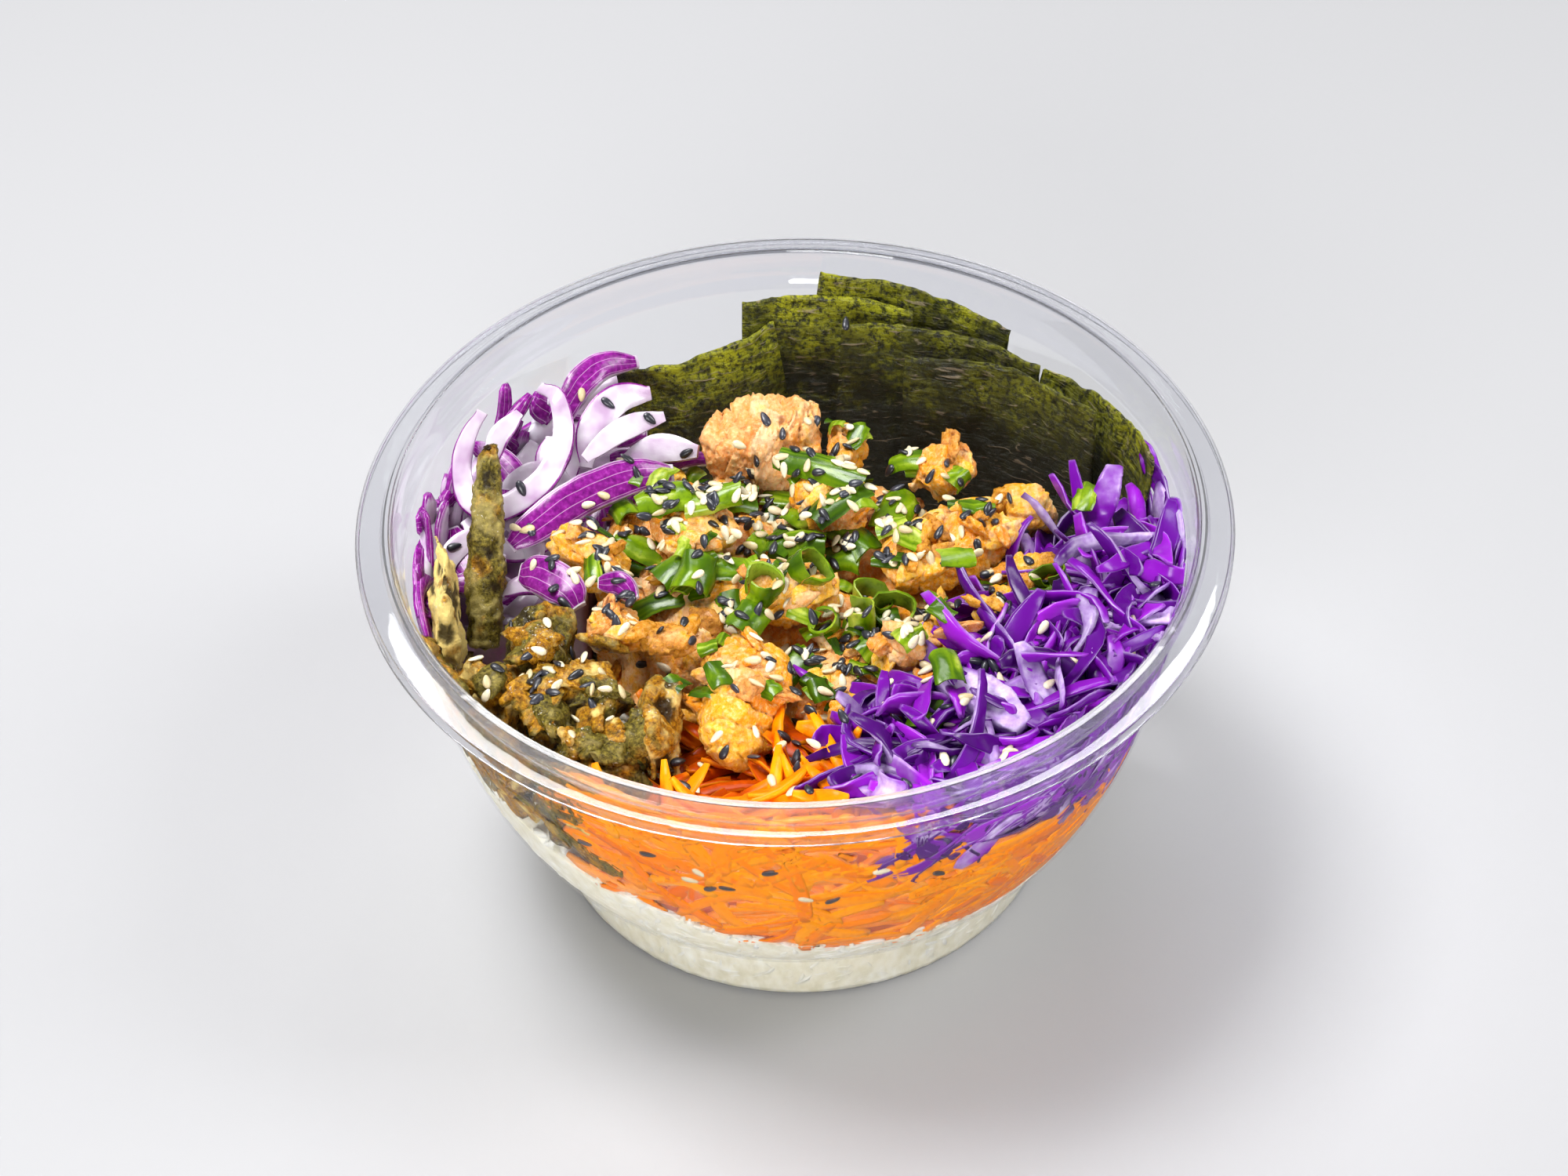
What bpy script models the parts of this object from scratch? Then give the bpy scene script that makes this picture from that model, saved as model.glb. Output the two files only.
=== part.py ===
"""Poke bowl: a clear plastic bowl filled with rice and topped with shredded carrot and red cabbage,
cooked salmon, sheets of nori, crisp fish skin and sliced red onion.

The origin is the middle of the foot's underside, +Z is up and the front of the bowl is -Y. Sizes below are
in millimetres and MM turns them into metres. Angles run anticlockwise from +X, in degrees.
"""

import math

import bmesh
import bpy
from mathutils import Matrix, Vector, noise
from mathutils.bvhtree import BVHTree

MM = 0.001
SIDES = 40  # flats round the bowl, which the heaps share
STEP = 360 / SIDES

# The bowl: a foot, a rounded wall and a rim that a lid snaps into.
WALL = 0.7
FOOT_RING = (47.3, 54.6)  # inner and outer radius of the flat ring that the bowl stands on
PUSH_UP = 2.0  # how far the middle of the base stands off the table
FOOT_RADIUS = 56.0
NECK = (59.0, 16.3)  # radius and height where the foot ends and the wall begins
BELLY = (77.8, 33.3)  # the corner that the wall's curve is drawn towards
BROW = (83.0, 84.2)  # radius and height where the wall ends and the rim begins
WALL_STEPS = 6
RIM = (
    (83.9, 85.6),
    (85.2, 88.4),
    (84.8, 93.0),
    (85.3, 93.65),
    (86.4, 93.65),
    (87.0, 91.9),
    (89.4, 91.5),
    (91.7, 91.5),
    (92.15, 90.9),
    (92.15, 89.2),
)

# The heaps. Every heap keeps GAP to the wall and to its neighbours.
GAP = 0.45
RICE_MIDDLE = 46.0
RICE_LOW = 30.0
RICE_RISE = 27.0  # the rice stands this much higher on the left of the bowl
RICE_RISE_AT = 212.0
RICE_RISE_WIDTH = 44.0
MOUND_EDGE = {0: 50, 60: 46, 100: 50, 150: 45, 190: 44, 232: 37, 262: 46, 300: 48, 330: 50}
MOUND_TOP = 76.0
CARROT = (243, 333)
CARROT_TOP = 78.0
CARROT_UNDER_CABBAGE = 56.0
CABBAGE_FROM = 288
CABBAGE = (288, 360)
CABBAGE_TOP = 82.0
ONION = (126, 180)
ONION_TOP = 68.0
UNEVEN = 2.2  # how much the heaps' tops rise and fall
UNEVEN_SIZE = 14.0  # and over what distance

# Salmon: name: (place, half sizes, turn about Z, roll about its own length)
SALMON = {
    "salmon_back": ((-5, 38, 77), (16, 11.5, 10.5), 5, 0),
    "salmon_back_right": ((11, 36, 76), (5, 7.5, 5.5), -25, 0),
    "salmon_left": ((-45, 3, 77), (12, 7, 6), -32, 12),
    "salmon_left_front": ((-38, -16, 77), (7, 10, 6.5), 8, 0),
    "salmon_right": ((32, 1, 78.5), (17, 9.5, 7), 24, -10),
    "salmon_front": ((-12, -40, 76), (10, 18, 8), -12, 0),
    "salmon_front_right": ((14, -45, 76), (9, 5, 5), 12, 0),
    "salmon_upper_right": ((33, 27, 78), (7, 7.5, 6.5), -30, 0),
    "salmon_far_right": ((50, 14, 76), (6.5, 7.5, 6.5), 15, 0),
    "salmon_middle": ((-1, -12, 79), (11.5, 7.5, 5.5), 12, 0),
    "salmon_middle_right": ((27, -28, 78), (11, 7.5, 5.5), 14, 0),
    "salmon_middle_back": ((8, 17, 79), (10, 8, 5.5), -18, 0),
    "salmon_middle_left": ((-21, 11, 77), (10, 8, 6), 24, 0),
    "salmon_crisp_edge": ((51, -9, 79), (7.5, 7, 4.5), -20, 0),
    "salmon_skin_scrap": ((-27, -24, 79), (7, 4.5, 3.2), -12, 0),
}

# Crisp fish skin: name: (place, half sizes, turn about Z, lean about X)
CRISP = {
    "crisp_yellow": ((-74.5, -9, 72.5), (3.8, 15, 11), 4, 24),
    "crisp_wall": ((-66, -34, 71), (7.5, 10.5, 8), 28, 0),
    "crisp_grey": ((-54, -20, 74), (8, 13, 8), -6, 10),
    "crisp_golden": ((-46, -39, 75.5), (11, 9.5, 7), -18, 0),
    "crisp_front": ((-43, -56, 71.5), (13, 8, 7), -20, 0),
    "crisp_slab": ((-29, -46, 75), (5, 14, 9), -6, 0),
    "crisp_dark": ((-47, -60, 57), (12, 5, 8), -36, 0),
    "crisp_low": ((-61, -48, 62), (9, 6, 7), -48, 0),
    "crisp_low_back": ((-70, -16, 54), (4, 12, 7), 10, 0),
    "crisp_inner": ((-55, -36, 62), (7, 7, 6), 0, 0),
}
STICK = ((-67.5, -6.5, 61), (-65.0, 24.5, 92.6))  # the two ends of the upright stick of skin
STICK_RADIUS = 4.0
STICK_RINGS = 9
STICK_SIDES = 7

# Nori: name: (left top corner, right top corner, length, bow towards the wall, lean inwards at the foot)
NORI = {
    "nori_left": ((-38.5, 61.5, 79), (-3, 74.0, 82), 42, -4.0, 9),
    "nori_second": ((-7.5, 75.0, 87), (31, 70.5, 87), 50, 3.5, 9),
    "nori_tip": ((5.6, 80.0, 91), (47.5, 62.5, 87), 50, 3.0, 9),
    "nori_middle": ((13, 66.5, 87), (56, 52.0, 86), 50, 5.0, 7),
    "nori_front": ((25.5, 55.5, 86), (66, 33.0, 87.5), 50, 5.5, 7),
    "nori_right": ((57, 54.5, 84), (77.6, 19.5, 88), 46, 4.0, 8),
}
NORI_THICK = 0.5
NORI_CELLS = (6, 5)

# Onion slices: name: (the middle line of the slice, width of its flat side, thickness)
ONION_SLICES = {
    "onion_hook": (
        ((-55, 47, 87), (-51, 43, 87), (-50, 36, 82), (-54, 27.5, 78), (-62, 22.5, 74.5))
        + ((-69, 22.5, 74.5), (-72.2, 28, 77), (-71.5, 34, 83), (-67.5, 38.5, 88)),
        5.6,
        3.4,
    ),
    "onion_inner_hook": (((-59.5, 40, 86), (-64, 34.5, 84), (-66.5, 28.5, 80)), 4.6, 2.4),
    "onion_purple_band": (
        ((-62.5, 13.5, 72.5), (-57, 17, 75), (-47, 23.5, 77.5), (-36, 28.5, 78.5), (-27, 31, 77)),
        8.6,
        3.2,
    ),
    "onion_cut_end": (((-59.0, 3.0, 73.5), (-54.5, -0.5, 76), (-49, -6, 76.5), (-46.5, -10, 75)), 9.0, 4.0),
    "onion_back": (((-34, 61.5, 82), (-42, 57, 84.5), (-48, 50.5, 82.5), (-51.5, 43.5, 77)), 6.5, 3.0),
    "onion_striped": (((-31, 51.5, 81), (-38.5, 48.5, 82), (-44, 41.5, 79.5), (-45.5, 34, 75)), 7.0, 2.6),
    "onion_diagonal": (((-27, 43.5, 81), (-36, 39.5, 81), (-44.5, 32.5, 79)), 5.0, 1.6),
    "onion_broad": (((-38, 37, 75.5), (-30, 38, 78), (-21.5, 35.5, 79)), 6.5, 2.2),
    "onion_by_wall": (((-77.5, 20.5, 72), (-75.5, 13.5, 71), (-72, 6.5, 69.5)), 6.5, 2.6),
    "onion_pink": (((-64, 30, 71), (-57, 33.5, 73), (-49, 31.5, 72)), 8.0, 2.6),
    "onion_small": (((-42, -7, 79.5), (-37.5, -9, 81), (-34.5, -13, 80)), 5.4, 2.8),
}
ONION_FACING = (0, -0.64, 0.77)  # the way the flat sides of the slices look
ONION_STEPS = 2
CORNERS = ((-1, -1), (1, -1), (1, 1), (-1, 1))  # of the cut across a slice or a strip

# Cabbage pieces that stand out of the heap: name: (foot, top, width, thickness, twist)
CABBAGE_PIECES = {
    "cabbage_tall": ((62.5, -2.5, 80), (68.5, 11.5, 93), 6.0, 1.6, 70),
    "cabbage_wedge": ((29.5, -42.5, 84), (45.0, -57.5, 83.5), 9.0, 4.0, 20),
}
CABBAGE_STEPS = 6

# Settling. Some pieces keep their place when others have to move apart.
FIXED = ["crisp_stick", "onion_hook", "onion_cut_end", "cabbage_tall", "cabbage_wedge"]
PIECE_GAP = GAP * 0.45  # swells each piece by a little under half of the gap between two
WALL_GAP = GAP * 0.8
STRIDE = 0.25  # how far a piece moves at a time
DRAW_IN = 0.3  # how far the side of a lump is drawn in at a time
SMALLEST = 1.5  # and how near to the lump's middle it may come
LOWERING = 0.5  # how far the top of a heap sinks at a time
ROUNDS = 160  # the most times that each of these is repeated

COLOURS = {
    "bowl": ((0.90, 0.92, 0.95), 0.08, 0.25),
    "rice": ((0.86, 0.83, 0.75), 0.6, 1),
    "carrot": ((0.93, 0.30, 0.01), 0.45, 1),
    "cabbage": ((0.23, 0.03, 0.36), 0.45, 1),
    "salmon": ((0.85, 0.46, 0.22), 0.5, 1),
    "nori": ((0.07, 0.08, 0.01), 0.45, 1),
    "crisp": ((0.32, 0.22, 0.08), 0.6, 1),
    "onion": ((0.55, 0.25, 0.55), 0.4, 1),
}


# --- Small helpers -----------------------------------------------------------------------------------


def material(name):
    colour, roughness, alpha = COLOURS[name]
    made = bpy.data.materials.get(name) or bpy.data.materials.new(name)
    made.use_nodes = True
    shader = made.node_tree.nodes["Principled BSDF"]
    shader.inputs["Base Color"].default_value = (*colour, 1)
    shader.inputs["Roughness"].default_value = roughness
    shader.inputs["Metallic"].default_value = 0
    shader.inputs["Alpha"].default_value = alpha
    return made


def add(name, mesh, look, place=(0, 0, 0), rotation=None):
    """Puts a mesh made in millimetres into the scene as a named object in metres."""
    mesh.transform(Matrix.Scale(MM, 4))
    mesh.shade_smooth()
    mesh.set_sharp_from_angle(angle=math.radians(50))
    made = bpy.data.objects.new(name, mesh)
    made.data.materials.append(material(look))
    made.location = Vector(place) * MM
    if rotation is not None:
        made.rotation_euler = rotation.to_euler()
    bpy.context.collection.objects.link(made)
    bpy.context.view_layer.update()
    return made


def finish_mesh(bm, name):
    bmesh.ops.remove_doubles(bm, verts=bm.verts, dist=1e-4)
    bmesh.ops.triangulate(bm, faces=bm.faces)
    bmesh.ops.recalc_face_normals(bm, faces=bm.faces)
    mesh = bpy.data.meshes.new(name)
    bm.to_mesh(mesh)
    bm.free()
    return mesh


def smooth_between(table, angle):
    """Reads a table of values by angle, with a cosine ease from each entry to the next."""
    keys = sorted(table)
    angle %= 360
    low = max((k for k in keys if k <= angle), default=keys[-1] - 360)
    high = min((k for k in keys if k > angle), default=keys[0] + 360)
    share = (angle - low) / (high - low)
    share = (1 - math.cos(math.pi * share)) / 2
    return table[low % 360] * (1 - share) + table[high % 360] * share


def loft(sections, closed, name):
    """Joins outlines with the same number of points, end to end, or round into a ring."""
    bm = bmesh.new()
    rings = [[bm.verts.new(p) for p in section] for section in sections]
    pairs = list(zip(rings, rings[1:]))
    if closed:
        pairs.append((rings[-1], rings[0]))
    for one, two in pairs:
        for i in range(len(one)):
            j = (i + 1) % len(one)
            bm.faces.new((one[i], one[j], two[j], two[i]))
    if not closed:
        bm.faces.new(reversed(rings[0]))
        bm.faces.new(rings[-1])
    return finish_mesh(bm, name)


# --- The bowl ----------------------------------------------------------------------------------------


def middle_line():
    """The middle of the bowl's wall, from the axis under the base out and up to the rim's end."""
    half = WALL / 2
    points = [(0.0, PUSH_UP + half), (FOOT_RING[0] - 3.2, PUSH_UP + half), (FOOT_RING[0], half)]
    points += [(FOOT_RING[1], half), (FOOT_RADIUS - half, 1.6), (NECK[0] - 1.6, 8.2)]
    for i in range(WALL_STEPS + 1):
        t = i / WALL_STEPS
        a, b, c = (1 - t) ** 2, 2 * t * (1 - t), t * t
        points.append(tuple(a * n + b * m + c * e for n, m, e in zip(NECK, BELLY, BROW)))
    return points + list(RIM)


def offset(line, distance):
    """The line moved sideways, with mitred corners; a positive distance moves it outwards and down."""
    moved = []
    for i, (r, z) in enumerate(line):
        sides = []
        for a, b in ((i - 1, i), (i, i + 1)):
            if a >= 0 and b < len(line):
                run = Vector((line[b][0] - line[a][0], line[b][1] - line[a][1])).normalized()
                sides.append(Vector((run.y, -run.x)))
        normal = sum(sides, Vector((0, 0))).normalized()
        reach = distance / max(normal.dot(sides[0]), 0.5)
        moved.append((max(r + normal.x * reach, 0.0), z + normal.y * reach))
    return moved


def bowl():
    outside = offset(middle_line(), WALL / 2)
    inside = offset(middle_line(), -WALL / 2)
    bm = bmesh.new()
    verts = [bm.verts.new((r, 0, z)) for r, z in reversed(outside)]
    verts += [bm.verts.new((r, 0, z)) for r, z in inside]
    for one, two in zip(verts, verts[1:]):
        bm.edges.new((one, two))
    bm.edges.new((verts[-1], verts[0]))
    mesh = bpy.data.meshes.new("bowl")
    bm.to_mesh(mesh)
    bm.free()
    made = add("bowl", mesh, "bowl")
    turn = made.modifiers.new("turn", "SCREW")
    turn.steps = turn.render_steps = SIDES
    turn.use_merge_vertices = True
    turn.merge_threshold = 0.00002
    turn.use_normal_calculate = True
    return made


def inner_line():
    """The inside of the bowl from the foot's corner up to the rim's first step."""
    line = offset(middle_line(), -WALL / 2)
    return [p for p in line if p[0] > FOOT_RING[1] - 1 and 1 < p[1] <= BROW[1] + 1.5]


def room(z):
    """How far out the contents may reach at a height."""
    line = inner_line()
    below = max((p for p in line if p[1] <= z), key=lambda p: p[1], default=line[0])
    above = min((p for p in line if p[1] > z), key=lambda p: p[1], default=line[-1])
    share = 0 if above[1] == below[1] else (z - below[1]) / (above[1] - below[1])
    return below[0] + (above[0] - below[0]) * share - GAP


# --- The heaps ---------------------------------------------------------------------------------------


def rice_at(angle, r):
    """The top of the rice: a straight fall or rise from the middle of the bowl to its wall."""
    away = (angle - RICE_RISE_AT + 180) % 360 - 180
    edge = RICE_LOW + RICE_RISE * math.exp(-((away / RICE_RISE_WIDTH) ** 2))
    return RICE_MIDDLE + (edge - RICE_MIDDLE) * r / BELLY[0]


def wall_point(angle, height_at):
    """Where a surface whose height depends on the radius meets the wall."""
    r = BELLY[0]
    for _ in range(30):
        r = (r + room(height_at(angle, r))) / 2
    return r, height_at(angle, r)


def uneven(x, y, seed):
    at = Vector((x, y, seed * 31.7)) / UNEVEN_SIZE
    return UNEVEN * (noise.noise(at) + 0.5 * noise.noise(at * 2.3))


def at(angle, r, z):
    turn = math.radians(angle)
    return Vector((r * math.cos(turn), r * math.sin(turn), z))


def angles(first, last):
    count = round((last - first) / STEP)
    return [first + i * STEP for i in range(count + 1)]


def rice():
    sections = []
    for angle in [i * STEP for i in range(SIDES)]:
        edge, height = wall_point(angle, rice_at)
        floor = PUSH_UP + WALL + GAP
        outline = [(0, floor), (FOOT_RING[0] - 3.6, floor), (FOOT_RING[0] - 0.6, WALL + GAP)]
        outline += [(FOOT_RING[1] - 0.6, WALL + GAP)]
        foot_levels = [z for _, z in inner_line()[:3]]
        wall_levels = [foot_levels[-1] + (height - foot_levels[-1]) * share for share in (0.33, 0.66)]
        outline += [(room(z), z) for z in foot_levels + wall_levels]
        outline += [(edge, height)]
        outline += [(edge * share, rice_at(angle, edge * share)) for share in (0.72, 0.4, 0)]
        sections.append([at(angle, r, z) for r, z in outline])
    return add("rice", loft(sections, True, "rice"), "rice")


def heap(name, look, span, inner, bottom, top, seed):
    """A heap between two angles that leans on the wall, from an inner radius outwards."""
    sections = []
    for angle in angles(*span):
        start = inner(angle)
        low_r, low_z = wall_point(angle, bottom)
        top_r, top_z = wall_point(angle, top)
        outline = [(start, bottom(angle, start)), ((start + low_r) / 2, bottom(angle, (start + low_r) / 2))]
        outline += [(low_r, low_z)]
        for share in (0.25, 0.5, 0.75):
            z = low_z + (top_z - low_z) * share
            outline.append((room(z), z))
        outline.append((top_r, top_z))
        points = [at(angle, r, z) for r, z in outline]
        for share in (0.8, 0.6, 0.4, 0.2, 0.0):
            point = at(angle, start + (top_r - start) * share, 0)
            height = top(angle, start + (top_r - start) * share) + uneven(point.x, point.y, seed)
            points.append(point + Vector((0, 0, max(height, bottom(angle, start) + 4))))
        sections.append(points)
    return add(name, loft(sections, False, name), look)


def over_rice(angle, r):
    return rice_at(angle, r) + GAP


def mound_edge(angle):
    return smooth_between(MOUND_EDGE, angle)


def outside_mound(angle):
    return mound_edge(angle) + GAP * 2


def carrot_top(angle, r):
    """The carrot drops under the cabbage on the right."""
    if angle < CABBAGE_FROM - 1:
        return CARROT_TOP
    return CARROT_UNDER_CABBAGE


def over_carrot(angle, r):
    """The cabbage lies on the carrot in front and on the rice at the side."""
    if angle <= CARROT[1] + 1:
        return CARROT_UNDER_CABBAGE + UNEVEN + GAP * 2
    return over_rice(angle, r)


def salmon_flakes():
    """The mound of small flakes that the large pieces of salmon lie on."""
    sections = []
    for angle in [i * STEP for i in range(SIDES)]:
        edge = mound_edge(angle)
        leans = CARROT[0] <= angle <= 360 or angle <= CABBAGE[1] - 360 or ONION[0] <= angle <= ONION[1]
        side = MOUND_TOP * 0.94 if leans else max(MOUND_TOP * 0.62, over_rice(angle, edge) + 5)
        outline = [(0, over_rice(angle, 0)), (edge * 0.5, over_rice(angle, edge * 0.5))]
        outline += [(edge, over_rice(angle, edge))]
        outline += [(edge - (1.5 if leans else 5), side)]
        points = [at(angle, r, z) for r, z in outline]
        for share in (0.78, 0.55, 0.28):
            point = at(angle, edge * share, 0)
            top = MOUND_TOP * (1 if leans or share < 0.6 else 0.92)
            points.append(point + Vector((0, 0, top + uneven(point.x, point.y, 1) - 1)))
        points.append(Vector((0, 0, MOUND_TOP)))
        sections.append(points)
    return add("salmon_flakes", loft(sections, True, "salmon_flakes"), "salmon")


# The heaps by the wall: name, the angles they fill, and what gives their underside and their top
HEAPS = (
    ("carrot", CARROT, over_rice, carrot_top),
    ("cabbage", CABBAGE, over_carrot, lambda angle, r: CABBAGE_TOP),
    ("onion", ONION, over_rice, lambda angle, r: ONION_TOP),
)


# --- Pieces ------------------------------------------------------------------------------------------


def lump(name, look, place, half, rotation, rough, seed):
    """An uneven lump: a ball pulled to its half sizes, with broken sides."""
    bm = bmesh.new()
    bmesh.ops.create_icosphere(bm, subdivisions=2, radius=1)
    for vert in bm.verts:
        way = vert.co.copy()
        boxy = 1 / max(abs(way.x), abs(way.y), abs(way.z)) ** 0.4
        swell = 1 + rough * noise.noise(way * 1.7 + Vector((seed * 7.3, seed * 2.9, 0)))
        vert.co = Vector([c * h for c, h in zip(way * (boxy * swell * 0.9), half)])
    return add(name, finish_mesh(bm, name), look, place, rotation)


def stick():
    """The upright stick of battered skin, knobbly and thinner towards its top."""
    foot, top = Vector(STICK[0]), Vector(STICK[1])
    length = (top - foot).length
    sections = []
    for ring in range(STICK_RINGS):
        share = ring / (STICK_RINGS - 1)
        section = []
        for side in range(STICK_SIDES):
            turn = math.radians(side * 360 / STICK_SIDES)
            way = Vector((math.cos(turn), math.sin(turn), 0))
            bump = noise.noise(way * 0.8 + Vector((0, 0, share * 6)))
            radius = STICK_RADIUS * (1 + 0.3 * bump) * (1 - 0.42 * share**4)
            section.append(way * radius + Vector((0, 0, (share - 0.5) * length)))
        sections.append(section)
    rotation = (top - foot).to_track_quat("Z", "Y").to_matrix()
    return add("crisp_stick", loft(sections, False, "crisp_stick"), "crisp", (foot + top) / 2, rotation)


def sheet(name, left, right, length, bow, lean):
    """A square of nori: its top edge bows towards the wall and its foot leans into the bowl."""
    left, right = Vector(left), Vector(right)
    along = right - left
    out = Vector((-along.y, along.x, 0)).normalized()
    down = (along.normalized().cross(out) * -1 * math.copysign(1, along.normalized().cross(out).z)) * length
    columns, rows = NORI_CELLS
    sections = []
    for i in range(columns + 1):
        s = i / columns
        top = left + along * s + out * (bow * 4 * s * (1 - s))
        front, back = [], []
        for j in range(rows + 1):
            t = j / rows
            point = top + down * t - out * (lean * t)
            point += out * (0.5 * noise.noise(point / 9))
            front.append(point - out * (NORI_THICK / 2))
            back.append(point + out * (NORI_THICK / 2))
        sections.append(front + back[::-1])
    middle = (left + right) / 2 + down / 2
    sections = [[p - middle for p in section] for section in sections]
    return add(name, loft(sections, False, name), "nori", middle)


def along(points, steps):
    """Places along a smooth curve through the points, and which way the curve runs there."""
    points = [Vector(p) for p in points]
    padded = [2 * points[0] - points[1]] + points + [2 * points[-1] - points[-2]]
    places = []
    for a, b, c, d in zip(padded, padded[1:], padded[2:], padded[3:]):
        for i in range(steps):
            t = i / steps
            bend = (2 * a - 5 * b + 4 * c - d) * t**2 + (3 * b - a - 3 * c + d) * t**3
            places.append(b + ((c - a) * t + bend) / 2)
    places.append(points[-1])
    ways = [(two - one).normalized() for one, two in zip(places, places[1:])]
    return places, [(one + two).normalized() for one, two in zip(ways[:1] + ways, ways + ways[-1:])]


def slice_of_onion(name, path, width, thick):
    """A slice cut from a ring of onion, narrower towards its ends."""
    places, ways = along(path, ONION_STEPS)
    middle = sum((Vector(p) for p in path), Vector()) / len(path)
    sections = []
    for i, (place, way) in enumerate(zip(places, ways)):
        share = i / (len(places) - 1)
        slim = 0.55 + 0.45 * math.sin(math.pi * min(max(share, 0.12), 0.88))
        side = way.cross(Vector(ONION_FACING)).normalized() * (width * slim / 2)
        face = side.cross(way).normalized() * (thick * slim / 2)
        sections.append([place - middle + side * a + face * b for a, b in CORNERS])
    return add(name, loft(sections, False, name), "onion", middle)


def cabbage_piece(name, foot, top, width, thick, twist):
    """A leaf strip that twists as it rises out of the heap."""
    foot, top = Vector(foot), Vector(top)
    length = (top - foot).length
    sections = []
    for i in range(CABBAGE_STEPS + 1):
        share = i / CABBAGE_STEPS
        turn = math.radians(twist * (share - 0.5))
        wide = width / 2 * (0.35 + 0.65 * math.sin(math.pi * (0.12 + 0.76 * share)))
        side = Vector((math.cos(turn), math.sin(turn), 0))
        face = Vector((-side.y, side.x, 0)) * (thick / 2)
        middle = Vector((0, 0, (share - 0.5) * length)) + face * math.sin(math.pi * share)
        sections.append([middle + side * a * wide + face * b for a, b in CORNERS])
    rotation = (top - foot).to_track_quat("Z", "Y").to_matrix()
    return add(name, loft(sections, False, name), "cabbage", (foot + top) / 2, rotation)


# --- Settling ----------------------------------------------------------------------------------------


def tree(item, swell=0.0):
    """A search tree of an object's faces in the world, swollen outwards by some millimetres."""
    depsgraph = bpy.context.evaluated_depsgraph_get()
    mesh = item.evaluated_get(depsgraph).to_mesh()
    where = item.matrix_world
    turned = where.to_3x3()
    points = [where @ v.co + turned @ v.normal * swell * MM for v in mesh.vertices]
    found = BVHTree.FromPolygons(points, [tuple(p.vertices) for p in mesh.polygons])
    item.evaluated_get(depsgraph).to_mesh_clear()
    return found


def middle_of(item):
    corners = [item.matrix_world @ Vector(c) for c in item.bound_box]
    return sum(corners, Vector()) / 8


def give_way(item, others):
    """Draws the sides of a lump in towards its middle where they touch other pieces."""
    for _ in range(ROUNDS):
        mine = tree(item, PIECE_GAP)
        touched = set()
        for other in others:
            for face, _ in mine.overlap(other):
                touched.update(item.data.polygons[face].vertices)
        deep = [item.data.vertices[i] for i in touched if item.data.vertices[i].co.length > SMALLEST * MM]
        if not deep:
            return
        for vert in deep:
            vert.co -= vert.co.normalized() * (DRAW_IN * MM)
        item.data.update()


def settle(pieces, vessel, fixed):
    """Moves touching pieces apart in small steps, and in from the wall, until all keep a gap."""
    wall = tree(vessel, WALL_GAP)
    trees = {p.name: tree(p, PIECE_GAP) for p in pieces}
    for _ in range(ROUNDS):
        pushes = {}
        for i, one in enumerate(pieces):
            if trees[one.name].overlap(wall):
                inward = -middle_of(one)
                inward.z = 0
                pushes.setdefault(one.name, Vector()).__iadd__(inward.normalized())
            for two in pieces[i + 1 :]:
                if trees[one.name].overlap(trees[two.name]):
                    apart = (middle_of(one) - middle_of(two)).normalized()
                    pushes.setdefault(one.name, Vector()).__iadd__(apart)
                    pushes.setdefault(two.name, Vector()).__iadd__(-apart)
        if not pushes:
            return
        for piece in pieces:
            if piece.name in pushes and piece.name not in fixed and pushes[piece.name].length > 0.01:
                piece.location += pushes[piece.name].normalized() * (STRIDE * MM)
                bpy.context.view_layer.update()
                trees[piece.name] = tree(piece, PIECE_GAP)


def sink(pile, pieces, lowest):
    """Lowers the top of a heap under the pieces that rest on it, until it keeps a gap to them."""
    trees = [tree(p, WALL_GAP) for p in pieces]
    mesh = pile.data
    for _ in range(ROUNDS):
        mine = tree(pile)
        touched = set()
        for other in trees:
            for face, _ in mine.overlap(other):
                touched.update(mesh.polygons[face].vertices)
        lowered = False
        for index in touched:
            vert = mesh.vertices[index]
            if vert.co.z > lowest(vert.co) + LOWERING * MM:
                vert.co.z -= LOWERING * MM
                reach = math.hypot(vert.co.x, vert.co.y)
                keep = min(1, room(vert.co.z / MM) * MM / reach) if reach > 0 else 1
                vert.co.x *= keep
                vert.co.y *= keep
                lowered = True
        mesh.update()
        if not lowered:
            return


def above(bottom, spare):
    """The lowest that a heap's top may be at a point: so far above the surface it lies on."""

    def lowest(point):
        angle = math.degrees(math.atan2(point.y, point.x)) % 360
        if angle < ONION[0] / 2:
            angle += 360 if bottom is over_carrot else 0
        return (bottom(angle, math.hypot(point.x, point.y) / MM) + spare) * MM

    return lowest


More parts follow.
